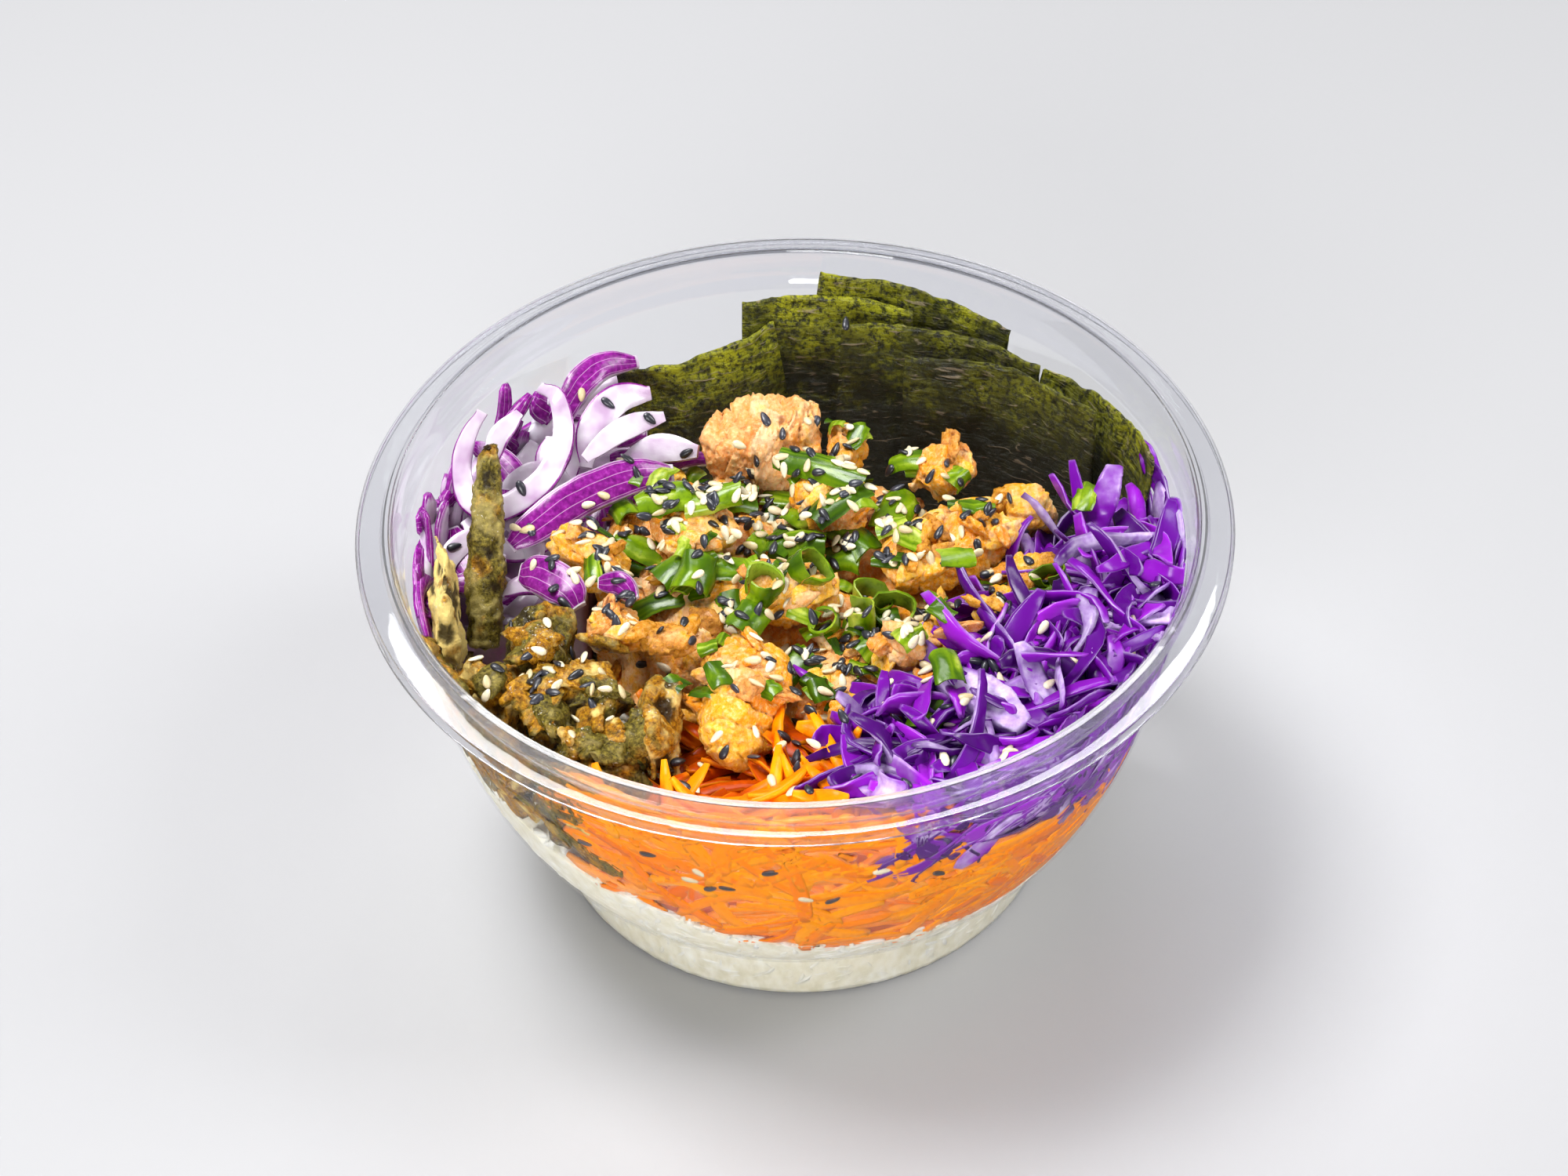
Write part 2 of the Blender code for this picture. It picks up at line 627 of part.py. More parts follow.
def main():
    for old in list(bpy.data.objects):
        bpy.data.objects.remove(old)
    vessel = bowl()
    piles = [(rice(), lambda angle, r: RICE_LOW / 2), (salmon_flakes(), over_rice)]
    for seed, (name, span, bottom, top) in enumerate(HEAPS):
        piles.append((heap(name, name, span, outside_mound, bottom, top, seed + 2), bottom))
    lumps = []
    for seed, (name, (place, half, turn, roll)) in enumerate(SALMON.items()):
        rotation = Matrix.Rotation(math.radians(turn), 3, "Z") @ Matrix.Rotation(math.radians(roll), 3, "Y")
        lumps.append(lump(name, "salmon", place, half, rotation, 0.5, seed))
    for seed, (name, (place, half, turn, lean)) in enumerate(CRISP.items()):
        rotation = Matrix.Rotation(math.radians(turn), 3, "Z") @ Matrix.Rotation(math.radians(lean), 3, "X")
        lumps.append(lump(name, "crisp", place, half, rotation, 0.7, seed + 40))
    pieces = [stick()]
    pieces += [sheet(name, *facts) for name, facts in NORI.items()]
    pieces += [slice_of_onion(name, *facts) for name, facts in ONION_SLICES.items()]
    pieces += [cabbage_piece(name, *facts) for name, facts in CABBAGE_PIECES.items()]
    settle(pieces, vessel, FIXED)
    placed = [tree(p, PIECE_GAP) for p in [vessel] + pieces]
    for item in lumps:
        give_way(item, placed)
        placed.append(tree(item, PIECE_GAP))
    pieces += lumps
    settle(pieces, vessel, [p.name for p in pieces if p not in lumps])
    for pile, bottom in piles:
        sink(pile, pieces, above(bottom, 2.5))


main()
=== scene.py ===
"""The looks of the poke bowl: a clear bowl with rice, salmon, nori, onion, carrot, cabbage and crisp skin.

Sizes are in millimetres unless a name says otherwise, and MM turns them into the frame's metres. Angles run
anticlockwise from +X in degrees. The front of the bowl is -Y.
"""

import math

import bmesh
import bpy
import numpy as np
from mathutils import Matrix, Vector
from mathutils.bvhtree import BVHTree


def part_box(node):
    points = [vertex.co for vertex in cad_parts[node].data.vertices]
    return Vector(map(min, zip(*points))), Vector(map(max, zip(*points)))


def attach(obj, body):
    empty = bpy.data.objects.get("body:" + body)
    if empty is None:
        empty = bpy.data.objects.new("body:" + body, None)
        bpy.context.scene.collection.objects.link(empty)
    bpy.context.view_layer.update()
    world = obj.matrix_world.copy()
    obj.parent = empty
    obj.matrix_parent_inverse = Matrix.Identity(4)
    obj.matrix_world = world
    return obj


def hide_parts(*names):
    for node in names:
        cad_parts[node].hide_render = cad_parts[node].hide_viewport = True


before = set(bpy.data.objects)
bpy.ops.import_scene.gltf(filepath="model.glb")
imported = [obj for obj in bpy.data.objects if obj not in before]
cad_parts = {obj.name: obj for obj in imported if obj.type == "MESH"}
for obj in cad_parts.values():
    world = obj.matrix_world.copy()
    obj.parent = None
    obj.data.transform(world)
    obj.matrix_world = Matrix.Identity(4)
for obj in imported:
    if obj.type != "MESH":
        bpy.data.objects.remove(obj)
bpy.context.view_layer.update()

MM = 0.001
NODES = list(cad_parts)

# The bowl, as the CAD has it
WALL = 0.7
FOOT_RING = (47.3, 54.6)
PUSH_UP = 2.0
PUSH_UP_EDGE = 3.2
FOOT_RADIUS = 56.0
SKIRT = (57.4, 8.2)
NECK = (59.0, 16.3)
BELLY = (77.8, 33.3)
BROW = (83.0, 84.2)
RIM = (
    *((83.9, 85.6), (85.2, 88.4), (84.8, 93.0), (85.3, 93.65), (86.4, 93.65)),
    *((87.0, 91.9), (89.4, 91.5), (91.7, 91.5), (92.15, 90.9), (92.15, 89.2)),
)
WALL_STEPS = 24
BOWL_SIDES = 180

# Where the contents end
INTO_WALL = 0.22  # how far they reach into the wall, so that no gap shows
LEVEL = 90.0  # above this height they are squeezed together, so that they stay within the CAD's box
SPARE = 4.2  # the room they are squeezed into
MOUTH = 82.6  # their largest radius above the wall
LOWEST = 1.2  # below this height the wall's radius isn't read

# Where the rice ends at the wall, as the CAD has it
RICE_LOW = 30.0
RICE_RISE = 27.0
RICE_RISE_AT = 212.0
RICE_RISE_WIDTH = 44.0

# How fine the meshes are that are grown from CAD nodes
RICE_GRID = 2.2
CORE_GRID = 1.4
BED_GRID = 1.2
CRISP_GRID = 0.6
LUMP_GRID = 0.5

# How many small things there are of each kind
GRAINS_AT_WALL = 1500
GRAINS_ON_TOP = 1500
CARROT_AT_WALL = 430
CARROT_ON_TOP = 210
CABBAGE_AT_WALL = 260
CABBAGE_ON_TOP = 300
ONION_AT_WALL = 120
ONION_ON_TOP = 34
CRISP_AT_WALL = 46
CRISP_CRUMBS = 60
SALMON_CRUMBS = 120
SPRING_ONION_BITS = 90

# Sizes of the smallest things: length, width and height
GRAIN = (6.2, 2.1, 1.9)
SEED = (3.5, 2.35, 1.2)

FULL_TURN = 6.28  # nearly, in radians
FLAT = np.array([1, 1, 0])


# --- Numbers and meshes ---


def dice(seed):
    return np.random.default_rng(seed)


def unit(v):
    v = np.asarray(v, float)
    return v / np.maximum(np.linalg.norm(v, axis=-1, keepdims=True), 1e-9)


def ramp_between(x, low, high):
    """0 below low, 1 above high and a smooth rise between them."""
    t = np.clip((np.asarray(x, float) - low) / (high - low), 0, 1)
    return t * t * (3 - 2 * t)


class Lattice:
    """Smooth noise from -1 to 1 at many points at once, from a table of random numbers."""

    SIZE = 64
    APART = 13.7  # how far apart the octaves are read

    def __init__(self, seed):
        self.table = dice(seed).uniform(-1, 1, (self.SIZE,) * 3)

    def __call__(self, points, size, octaves=1):
        total = np.zeros(len(points))
        weight, norm = 1.0, 0.0
        for octave in range(octaves):
            total += weight * self.once(points / size * 2.0**octave + self.APART * octave)
            norm += weight
            weight *= 0.5
        return total / norm

    def once(self, points):
        base = np.floor(points).astype(int)
        part = points - base
        part = part * part * (3 - 2 * part)
        value = np.zeros(len(points))
        for corner in range(8):
            step = np.array([(corner >> axis) & 1 for axis in range(3)])
            share = np.prod(np.where(step, part, 1 - part), axis=1)
            cell = (base + step) % self.SIZE
            value += share * self.table[cell[:, 0], cell[:, 1], cell[:, 2]]
        return value


rough = Lattice(5)
CELL_TABLE = dice(6).random((32, 32, 32, 4))


def shifts(points, size, octaves=2, apart=40):
    """Noise for each of the three directions, to move points by."""
    return np.stack([rough(points + apart * k, size, octaves) for k in range(3)], 1)


def cells_at(points):
    """Cells one wide: the gap to the next one, a number for each, the place in it and its middle's distance."""
    base = np.floor(points).astype(int)
    nearest = np.full(len(points), 9.0)
    second = np.full(len(points), 9.0)
    value = np.zeros(len(points))
    along_x = np.zeros(len(points))
    for corner in range(27):
        cell = base + np.array([corner % 3 - 1, corner // 3 % 3 - 1, corner // 9 - 1])
        draw = CELL_TABLE[cell[:, 0] % 32, cell[:, 1] % 32, cell[:, 2] % 32]
        to = points - cell - 0.5 - 0.8 * (draw[:, :3] - 0.5)
        distance = np.linalg.norm(to, axis=1)
        closer = distance < nearest
        second = np.where(closer, nearest, np.minimum(second, distance))
        value = np.where(closer, draw[:, 3], value)
        along_x = np.where(closer, to[:, 0], along_x)
        nearest = np.where(closer, distance, nearest)
    return second - nearest, value, along_x, nearest


def mesh_from(name, points, faces, values=None):
    """A mesh in metres from points in millimetres. values are named numbers, one for each point."""
    mesh = bpy.data.meshes.new(name)
    mesh.from_pydata((np.asarray(points, float) * MM).tolist(), [], faces)
    for key, numbers in (values or {}).items():
        layer = mesh.attributes.new(key, "FLOAT", "POINT")
        layer.data.foreach_set("value", np.asarray(numbers, np.float32))
    mesh.validate()
    mesh.shade_smooth()
    return mesh


def outward(mesh):
    """Turns every face to look out."""
    bm = bmesh.new()
    bm.from_mesh(mesh)
    bmesh.ops.recalc_face_normals(bm, faces=bm.faces)
    bm.to_mesh(mesh)
    bm.free()
    return mesh


def piece(name, mesh, material, replaces=(), sharp=None):
    """Puts a mesh in the scene as a piece of the object."""
    made = bpy.data.objects.new(name, mesh)
    bpy.context.collection.objects.link(made)
    mesh.materials.clear()
    mesh.materials.append(material)
    if sharp is not None:
        mesh.set_sharp_from_angle(angle=math.radians(sharp))
    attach(made, "root")
    if replaces:
        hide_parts(*replaces)
    return made


def grown(node, grid):
    """A CAD node's shape again, with an even fine mesh: points in millimetres and faces."""
    scratch = bpy.data.objects.new("scratch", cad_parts[node].data.copy())
    bpy.context.collection.objects.link(scratch)
    remesh = scratch.modifiers.new("even", "REMESH")
    remesh.mode = "VOXEL"
    remesh.voxel_size = grid * MM
    depsgraph = bpy.context.evaluated_depsgraph_get()
    mesh = scratch.evaluated_get(depsgraph).to_mesh()
    points = np.empty(len(mesh.vertices) * 3)
    mesh.vertices.foreach_get("co", points)
    faces = [tuple(p.vertices) for p in mesh.polygons]
    scratch.evaluated_get(depsgraph).to_mesh_clear()
    bpy.data.objects.remove(scratch)
    return points.reshape(-1, 3) / MM, faces


def normals_of(points, faces):
    mesh = bpy.data.meshes.new("scratch")
    mesh.from_pydata(points.tolist(), [], faces)
    out = np.empty(len(points) * 3)
    mesh.vertices.foreach_get("normal", out)
    bpy.data.meshes.remove(mesh)
    return out.reshape(-1, 3)


def box_of(node):
    low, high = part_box(node)
    return np.array(low) / MM, np.array(high) / MM


def starting(word):
    """The CAD nodes whose names start with a word."""
    return [n for n in NODES if n.startswith(word + "_")]


# --- The bowl's shape ---


def middle_line():
    half = WALL / 2
    points = [(0.0, PUSH_UP + half), (FOOT_RING[0] - PUSH_UP_EDGE, PUSH_UP + half), (FOOT_RING[0], half)]
    points += [(FOOT_RING[1], half), (FOOT_RADIUS - half, 1.6), SKIRT]
    for i in range(WALL_STEPS + 1):
        t = i / WALL_STEPS
        a, b, c = (1 - t) ** 2, 2 * t * (1 - t), t * t
        points.append(tuple(a * n + b * m + c * e for n, m, e in zip(NECK, BELLY, BROW)))
    return points + list(RIM)


def offset(line, distance):
    """The line moved sideways, with mitred corners; a positive distance moves it outwards and down."""
    line = np.array(line)
    run = unit(np.diff(line, axis=0))
    side = np.stack([run[:, 1], -run[:, 0]], 1)
    before = np.vstack([side[:1], side])
    normal = unit(before + np.vstack([side, side[-1:]]))
    reach = distance / np.maximum((normal * before).sum(1), 0.5)
    moved = line + normal * reach[:, None]
    moved[:, 0] = np.maximum(moved[:, 0], 0)
    return moved


INSIDE = offset(middle_line(), -WALL / 2)
INSIDE = INSIDE[(INSIDE[:, 0] > FOOT_RING[1] - 1) & (INSIDE[:, 1] > 0.8) & (INSIDE[:, 1] < BROW[1] + 1.6)]


def inner(z):
    """The inside radius of the wall at a height."""
    return np.interp(z, INSIDE[:, 1], INSIDE[:, 0])


def polar(angle, r, z=0.0):
    turn = np.radians(angle)
    return np.stack([r * np.cos(turn), r * np.sin(turn), z + 0 * turn], -1)


def rice_edge(angle):
    away = (np.asarray(angle, float) - RICE_RISE_AT + 180) % 360 - 180
    return RICE_LOW + RICE_RISE * np.exp(-((away / RICE_RISE_WIDTH) ** 2))


def above_rice(angle):
    return rice_edge(angle) + 3


def press_to_wall(points, into, near=1.6):
    """Moves points that lie by the wall out to it, so that they reach just into it."""
    r = np.hypot(points[:, 0], points[:, 1])
    wall = inner(points[:, 2])
    close = (r > wall - near) & (points[:, 2] > 1.5) & (points[:, 2] < BROW[1])
    points[:, :2] *= np.where(close, (wall + into) / np.maximum(r, 1e-6), 1)[:, None]


def keep_inside(points, into=INTO_WALL):
    """Pulls points that would stick out of the bowl back to just inside its wall, or below its rim."""
    room = np.maximum(points[:, 2] - LEVEL, 0)
    squeezed = LEVEL + SPARE * (1 - np.exp(-room / SPARE))
    points[:, 2] = np.where(room > 0, squeezed, np.maximum(points[:, 2], WALL))
    r = np.hypot(points[:, 0], points[:, 1])
    z = np.clip(points[:, 2], LOWEST, None)
    limit = np.where(z < BROW[1], inner(z) + into, MOUTH)
    points[:, :2] *= np.minimum(1, limit / np.maximum(r, 1e-6))[:, None]
    return points


# --- Materials ---


class Look:
    """Builds one node material. under is how deep light goes, and how far each of its colours spreads."""

    def __init__(self, name, roughness, specular=0.5, coat=0.0, subsurface=0.0, under=(1.0, (1, 0.5, 0.3))):
        self.material = bpy.data.materials.new(name)
        self.material.use_nodes = True
        self.tree = self.material.node_tree
        self.shader = self.tree.nodes["Principled BSDF"]
        self.set("Roughness", roughness)
        self.set("Specular IOR Level", specular)
        if subsurface:
            self.set("Subsurface Weight", subsurface)
            self.set("Subsurface Scale", under[0] * MM)
            self.set("Subsurface Radius", under[1])
        if coat:
            self.set("Coat Weight", coat)
            self.set("Coat Roughness", 0.15)

    def set(self, socket, value):
        self.shader.inputs[socket].default_value = value

    def node(self, kind, **settings):
        made = self.tree.nodes.new(kind)
        for key, value in settings.items():
            setattr(made, key, value)
        return made

    def feed(self, socket, value):
        """Puts a number, colour or another node's output into an input."""
        if isinstance(value, bpy.types.NodeSocket):
            self.tree.links.new(value, socket)
        elif isinstance(value, tuple) and len(value) == 3 and socket.type == "RGBA":
            socket.default_value = (*value, 1)
        else:
            socket.default_value = value

    def made(self, kind, output, inputs, **settings):
        """A new node's output, with its inputs filled."""
        new = self.node(kind, **settings)
        for key, value in inputs.items():
            self.feed(new.inputs[key], value)
        return new.outputs[output]

    def spots(self, size, detail=3, stretch=(1, 1, 1), turn=(0, 0, 0), distortion=0.0, sharp=0.5):
        """Noise with features of about that size in millimetres, longer where stretch is larger."""
        place = self.made("ShaderNodeTexCoord", "Object", {})
        turned = [math.radians(t) for t in turn]
        scaled = [1 / s for s in stretch]
        mapped = self.made("ShaderNodeMapping", 0, {"Vector": place, "Rotation": turned, "Scale": scaled})
        inputs = {"Vector": mapped, "Scale": 1 / (size * MM), "Detail": detail}
        inputs.update({"Roughness": sharp, "Distortion": distortion})
        return self.made("ShaderNodeTexNoise", "Fac", inputs)

    def value(self, name):
        return self.made("ShaderNodeAttribute", "Fac", {}, attribute_name=name)

    def between(self, fac, low, high, first=0.0, second=1.0):
        """first where fac is below low, second where it is above high."""
        limits = {"From Min": low, "From Max": high, "To Min": first, "To Max": second}
        return self.made("ShaderNodeMapRange", 0, {"Value": fac, **limits}, interpolation_type="SMOOTHSTEP")

    def blend(self, fac, one, two):
        """Colour one where fac is 0 and two where it is 1."""
        return self.made("ShaderNodeMix", 2, {"Factor": fac, 6: one, 7: two}, data_type="RGBA")

    def over(self, base, fac, low, high, most, colour):
        """base, with a share of up to most of a colour over it where fac goes from low to high."""
        return self.blend(self.between(fac, low, high, 0.0, most), base, colour)

    def sum(self, one, two, operation="ADD"):
        return self.made("ShaderNodeMath", 0, {0: one, 1: two}, operation=operation)

    def ramp(self, fac, *stops):
        """Colours along fac. A stop is a position and a colour's three numbers."""
        new = self.node("ShaderNodeValToRGB")
        self.feed(new.inputs["Fac"], fac)
        elements = new.color_ramp.elements
        for element, stop in ((elements[0], stops[0]), (elements[1], stops[-1])):
            element.position, element.color = stop[0], (*stop[1:], 1)
        for stop in stops[1:-1]:
            elements.new(stop[0]).color = (*stop[1:], 1)
        return new.outputs["Color"]

    def colour(self, value):
        self.feed(self.shader.inputs["Base Color"], value)

    def bump(self, height, distance, strength=1.0):
        inputs = {"Strength": strength, "Distance": distance * MM, "Height": height}
        self.feed(self.shader.inputs["Normal"], self.made("ShaderNodeBump", 0, inputs))

    def roughness(self, value):
        self.feed(self.shader.inputs["Roughness"], value)


def clear_plastic(name, share, tint, gloss):
    """Clear plastic: glass that lets the lamps through, with a share of it plain and see-through."""
    look = Look(name, roughness=0.03, specular=gloss)
    look.set("Base Color", (*tint, 1))
    look.set("Transmission Weight", 1.0)
    look.set("IOR", 1.42)
    look.bump(look.spots(9, detail=2, stretch=(1, 1, 3)), 0.10, 0.35)
    clear = look.made("ShaderNodeBsdfTransparent", 0, {"Color": (0.97, 0.972, 0.98)})
    thin = look.made("ShaderNodeMixShader", 0, {"Fac": share, 1: look.shader.outputs[0], 2: clear})
    shadow = look.made("ShaderNodeLightPath", "Is Shadow Ray", {})
    mix = look.made("ShaderNodeMixShader", 0, {"Fac": shadow, 1: thin, 2: clear})
    look.feed(look.tree.nodes["Material Output"].inputs["Surface"], mix)
    return look.material


def rice_look():
    look = Look("rice", roughness=0.38, subsurface=0.35, under=(1.6, (1.0, 0.85, 0.6)))
    grain = look.spots(2.2, detail=2, stretch=(1, 1, 2.4))
    base = look.ramp(grain, (0.3, 0.70, 0.65, 0.47), (0.55, 0.84, 0.80, 0.65), (0.8, 0.94, 0.92, 0.82))
    paler = look.over(base, look.value("tone"), 0.0, 1.0, 0.6, (0.94, 0.93, 0.86))
    look.colour(look.over(paler, look.spots(16, detail=2), 0.35, 0.7, 0.35, (0.84, 0.77, 0.56)))
    look.bump(grain, 0.25, 0.4)
    return look.material


def carrot_look():
    look = Look("carrot", roughness=0.3, specular=0.12, subsurface=0.1, under=(1.2, (1.0, 0.3, 0.03)))
    fibre = look.spots(1.2, detail=4)
    # Low tones are partly the carrot's own darker shreds and partly painted shade: strips deep in by the wall
    # and the heap's core are set low.
    dark = ((0.0, 0.42, 0.05, 0.0), (0.2, 0.80, 0.14, 0.0))
    light = ((0.5, 0.98, 0.23, 0.0), (1.0, 1.0, 0.34, 0.001))
    base = look.ramp(look.value("tone"), *dark, *light)
    base = look.over(base, look.value("edge"), 0.35, 1.0, 0.55, (1.0, 0.38, 0.01))
    look.colour(look.over(base, fibre, 0.45, 0.75, 0.35, (0.74, 0.10, 0.0)))
    look.bump(fibre, 0.12, 0.5)
    return look.material


def cabbage_look():
    under = (0.8, (0.8, 0.3, 1.0))
    look = Look("cabbage", roughness=0.25, specular=0.25, coat=0.06, subsurface=0.06, under=under)
    vein = look.spots(1.8, detail=4)
    dark = ((0.0, 0.035, 0.001, 0.08), (0.35, 0.085, 0.002, 0.19))
    light = ((0.7, 0.17, 0.004, 0.33), (1.0, 0.28, 0.012, 0.48))
    purple = look.ramp(look.value("tone"), *dark, *light)
    pale = look.ramp(vein, (0.3, 0.36, 0.20, 0.52), (0.6, 0.58, 0.46, 0.70), (0.8, 0.74, 0.66, 0.80))
    look.colour(look.over(purple, look.value("edge"), 0.42, 0.75, 1.0, pale))
    look.bump(vein, 0.12, 0.5)
    return look.material


def onion_look():
    under = (1.4, (1.0, 0.7, 0.9))
    look = Look("onion", roughness=0.22, specular=0.35, coat=0.15, subsurface=0.3, under=under)
    ridge = look.spots(1.0, detail=3)
    wide = look.spots(6, detail=2)
    flesh = look.ramp(wide, (0.3, 0.44, 0.30, 0.45), (0.5, 0.57, 0.49, 0.58), (0.75, 0.67, 0.64, 0.68))
    purple = look.ramp(ridge, (0.3, 0.12, 0.003, 0.13), (0.55, 0.22, 0.009, 0.22), (0.8, 0.36, 0.04, 0.36))
    stripe = look.sum(look.value("line"), 0.14, "PINGPONG")
    veined = look.over(purple, stripe, 0.125, 0.138, 0.7, (0.62, 0.36, 0.60))
    look.colour(look.over(flesh, look.value("skin"), 0.35, 0.75, 1.0, veined))
    look.bump(ridge, 0.12, 0.5)
    return look.material


def nori_look():
    look = Look("nori", roughness=0.35, specular=0.35, coat=0.06)
    fine = look.spots(1.5, detail=6, sharp=0.75)
    middle = look.spots(3.6, detail=5, stretch=(1.6, 1.6, 1), distortion=0.8)
    patch = look.spots(9.0, detail=3)
    fibre = look.spots(1.3, detail=4, stretch=(5, 5, 1), distortion=1.2)
    dark = ((0.36, 0.010, 0.012, 0.0), (0.46, 0.07, 0.08, 0.001))
    light = ((0.55, 0.22, 0.23, 0.003), (0.68, 0.50, 0.48, 0.03))
    base = look.over(look.ramp(fine, *dark, *light), middle, 0.42, 0.58, 0.85, (0.012, 0.011, 0.001))
    shade = look.sum(look.between(patch, 0.35, 0.62, 0.0, 0.6), look.value("shade"))
    base = look.over(base, shade, 0.0, 1.0, 1.0, (0.010, 0.010, 0.0))
    # Painted light: fine spots near the tops of the sheets are painted a light yellow-green, as where light
    # falls on them.
    painted_light = look.sum(look.value("painted_light"), look.between(fine, 0.40, 0.58), "MULTIPLY")
    base = look.blend(painted_light, base, (0.38, 0.38, 0.004))
    look.colour(look.over(base, fibre, 0.60, 0.70, 0.6, (0.38, 0.30, 0.20)))
    look.bump(look.sum(look.sum(fine, fibre), look.sum(middle, middle)), 0.9)
    look.roughness(look.between(fine, 0.3, 0.7, 0.25, 0.55))
    return look.material


def salmon_look():
    under = (1.0, (1.0, 0.4, 0.15))
    look = Look("salmon", roughness=0.28, specular=0.3, coat=0.15, subsurface=0.15, under=under)
    wide = look.spots(2.6, detail=5)
    fine = look.spots(1.1, detail=6, sharp=0.7)
    fibres = look.spots(1.0, detail=4, stretch=(1, 5, 1.5), turn=(0, 0, 35))
    flake = look.value("flake")
    pink = look.ramp(flake, (0.0, 0.88, 0.33, 0.09), (0.5, 0.95, 0.46, 0.17), (1.0, 0.97, 0.62, 0.34))
    yellow = look.ramp(flake, (0.0, 0.92, 0.27, 0.002), (0.5, 0.98, 0.42, 0.008), (1.0, 1.0, 0.56, 0.05))
    brown = look.ramp(fine, (0.3, 0.20, 0.06, 0.001), (0.5, 0.52, 0.19, 0.004), (0.75, 0.86, 0.42, 0.03))
    golden = look.sum(look.value("gold"), look.between(wide, 0.3, 0.7, -0.25, 0.25))
    flesh = look.over(pink, golden, 0.3, 0.8, 1.0, yellow)
    flesh = look.over(flesh, fine, 0.48, 0.62, 0.6, (0.96, 0.70, 0.34))
    flesh = look.over(flesh, fibres, 0.50, 0.62, 0.4, (0.84, 0.29, 0.01))
    flesh = look.over(flesh, fine, 0.46, 0.36, 0.35, (0.70, 0.24, 0.01))
    flesh = look.over(flesh, look.value("sear"), 0.55, 0.85, 0.9, brown)
    # Painted shade: where relief is low, in the gaps between flakes and the dents of crumbs, the flesh goes
    # dark brown.
    look.colour(look.over(flesh, look.value("relief"), 0.40, 0.10, 0.9, (0.22, 0.05, 0.001)))
    look.bump(look.sum(fine, fibres), 0.7, 0.9)
    look.roughness(look.between(fine, 0.3, 0.7, 0.2, 0.5))
    return look.material


def crisp_look():
    look = Look("crisp", roughness=0.45, specular=0.2, coat=0.06)
    fine = look.spots(0.8, detail=5, sharp=0.7)
    relief = look.value("relief")
    pale = (0.68, 0.30, 0.235, 0.035)
    grey = look.ramp(fine, (0.34, 0.020, 0.014, 0.001), (0.5, 0.105, 0.078, 0.006), pale)
    brown = look.ramp(fine, (0.32, 0.08, 0.024, 0.0), (0.5, 0.32, 0.13, 0.002), (0.7, 0.68, 0.36, 0.015))
    kind = look.sum(look.between(look.spots(5.5, detail=4), 0.3, 0.7, -0.35, 0.35), look.value("tone"))
    skin = look.over(grey, kind, 0.3, 0.7, 1.0, brown)
    skin = look.over(skin, kind, 0.9, 1.2, 1.0, (0.82, 0.62, 0.20))
    # Painted highlight and shade from relief: raised bumps lighter olive, partly the crumbs' own colour and
    # partly painted highlight, and hollows nearly black as painted shade.
    skin = look.over(skin, relief, 0.5, 0.95, 0.45, (0.52, 0.42, 0.14))
    skin = look.over(skin, relief, 0.40, 0.08, 0.9, (0.012, 0.006, 0.001))
    dots = look.between(look.spots(0.7, detail=2), 0.62, 0.72)
    high = look.between(look.spots(7.0, detail=2), 0.5, 0.62)
    look.colour(look.blend(look.sum(dots, high, "MULTIPLY"), skin, (0.66, 0.64, 0.55)))
    look.bump(fine, 0.5, 0.9)
    look.roughness(look.between(fine, 0.35, 0.65, 0.25, 0.6))
    return look.material


def green_look():
    under = (0.6, (0.8, 1.0, 0.1))
    look = Look("spring_onion", roughness=0.22, specular=0.3, coat=0.08, subsurface=0.08, under=under)
    lines = look.spots(0.9, detail=3)
    dark = ((0.0, 0.010, 0.030, 0.0), (0.35, 0.055, 0.125, 0.001))
    light = ((0.65, 0.17, 0.28, 0.003), (1.0, 0.48, 0.55, 0.07))
    base = look.ramp(look.value("tone"), *dark, *light)
    base = look.over(base, look.value("edge"), 0.3, 1.0, 0.6, (0.34, 0.48, 0.05))
    look.colour(look.over(base, lines, 0.48, 0.72, 0.35, (0.02, 0.07, 0.001)))
    look.bump(lines, 0.1, 0.4)
    return look.material


def seed_look(name, low, high, coat, subsurface):
    look = Look(name, roughness=0.4, coat=coat, subsurface=subsurface)
    fine = look.spots(0.6, detail=3)
    base = look.ramp(look.value("tone"), (0.0, *low), (1.0, *high))
    look.colour(look.over(base, fine, 0.4, 0.75, 0.25, tuple(c * 0.55 for c in low)))
    look.bump(fine, 0.06, 0.5)
    return look.material


# --- Building blocks ---


# The cut across a ribbon, in shares of its width and thickness
AROUND = ((-0.5, 0), (-0.36, 0.5), (0, 0.5), (0.36, 0.5), (0.5, 0), (0.36, -0.5), (0, -0.5), (-0.36, -0.5))


class Pile:
    """Gathers many small shapes, with named numbers for their points, into one."""

    def __init__(self):
        self.points, self.faces, self.values, self.total = [], [], {}, 0

    def add(self, points, faces, **values):
        self.faces += [tuple(v + self.total for v in face) for face in faces]
        self.points.append(points)
        self.total += len(points)
        for key, numbers in values.items():
            self.values.setdefault(key, []).append(numbers)

    def whole(self):
        values = {key: np.concatenate(numbers) for key, numbers in self.values.items()}
        return np.vstack(self.points), self.faces, values


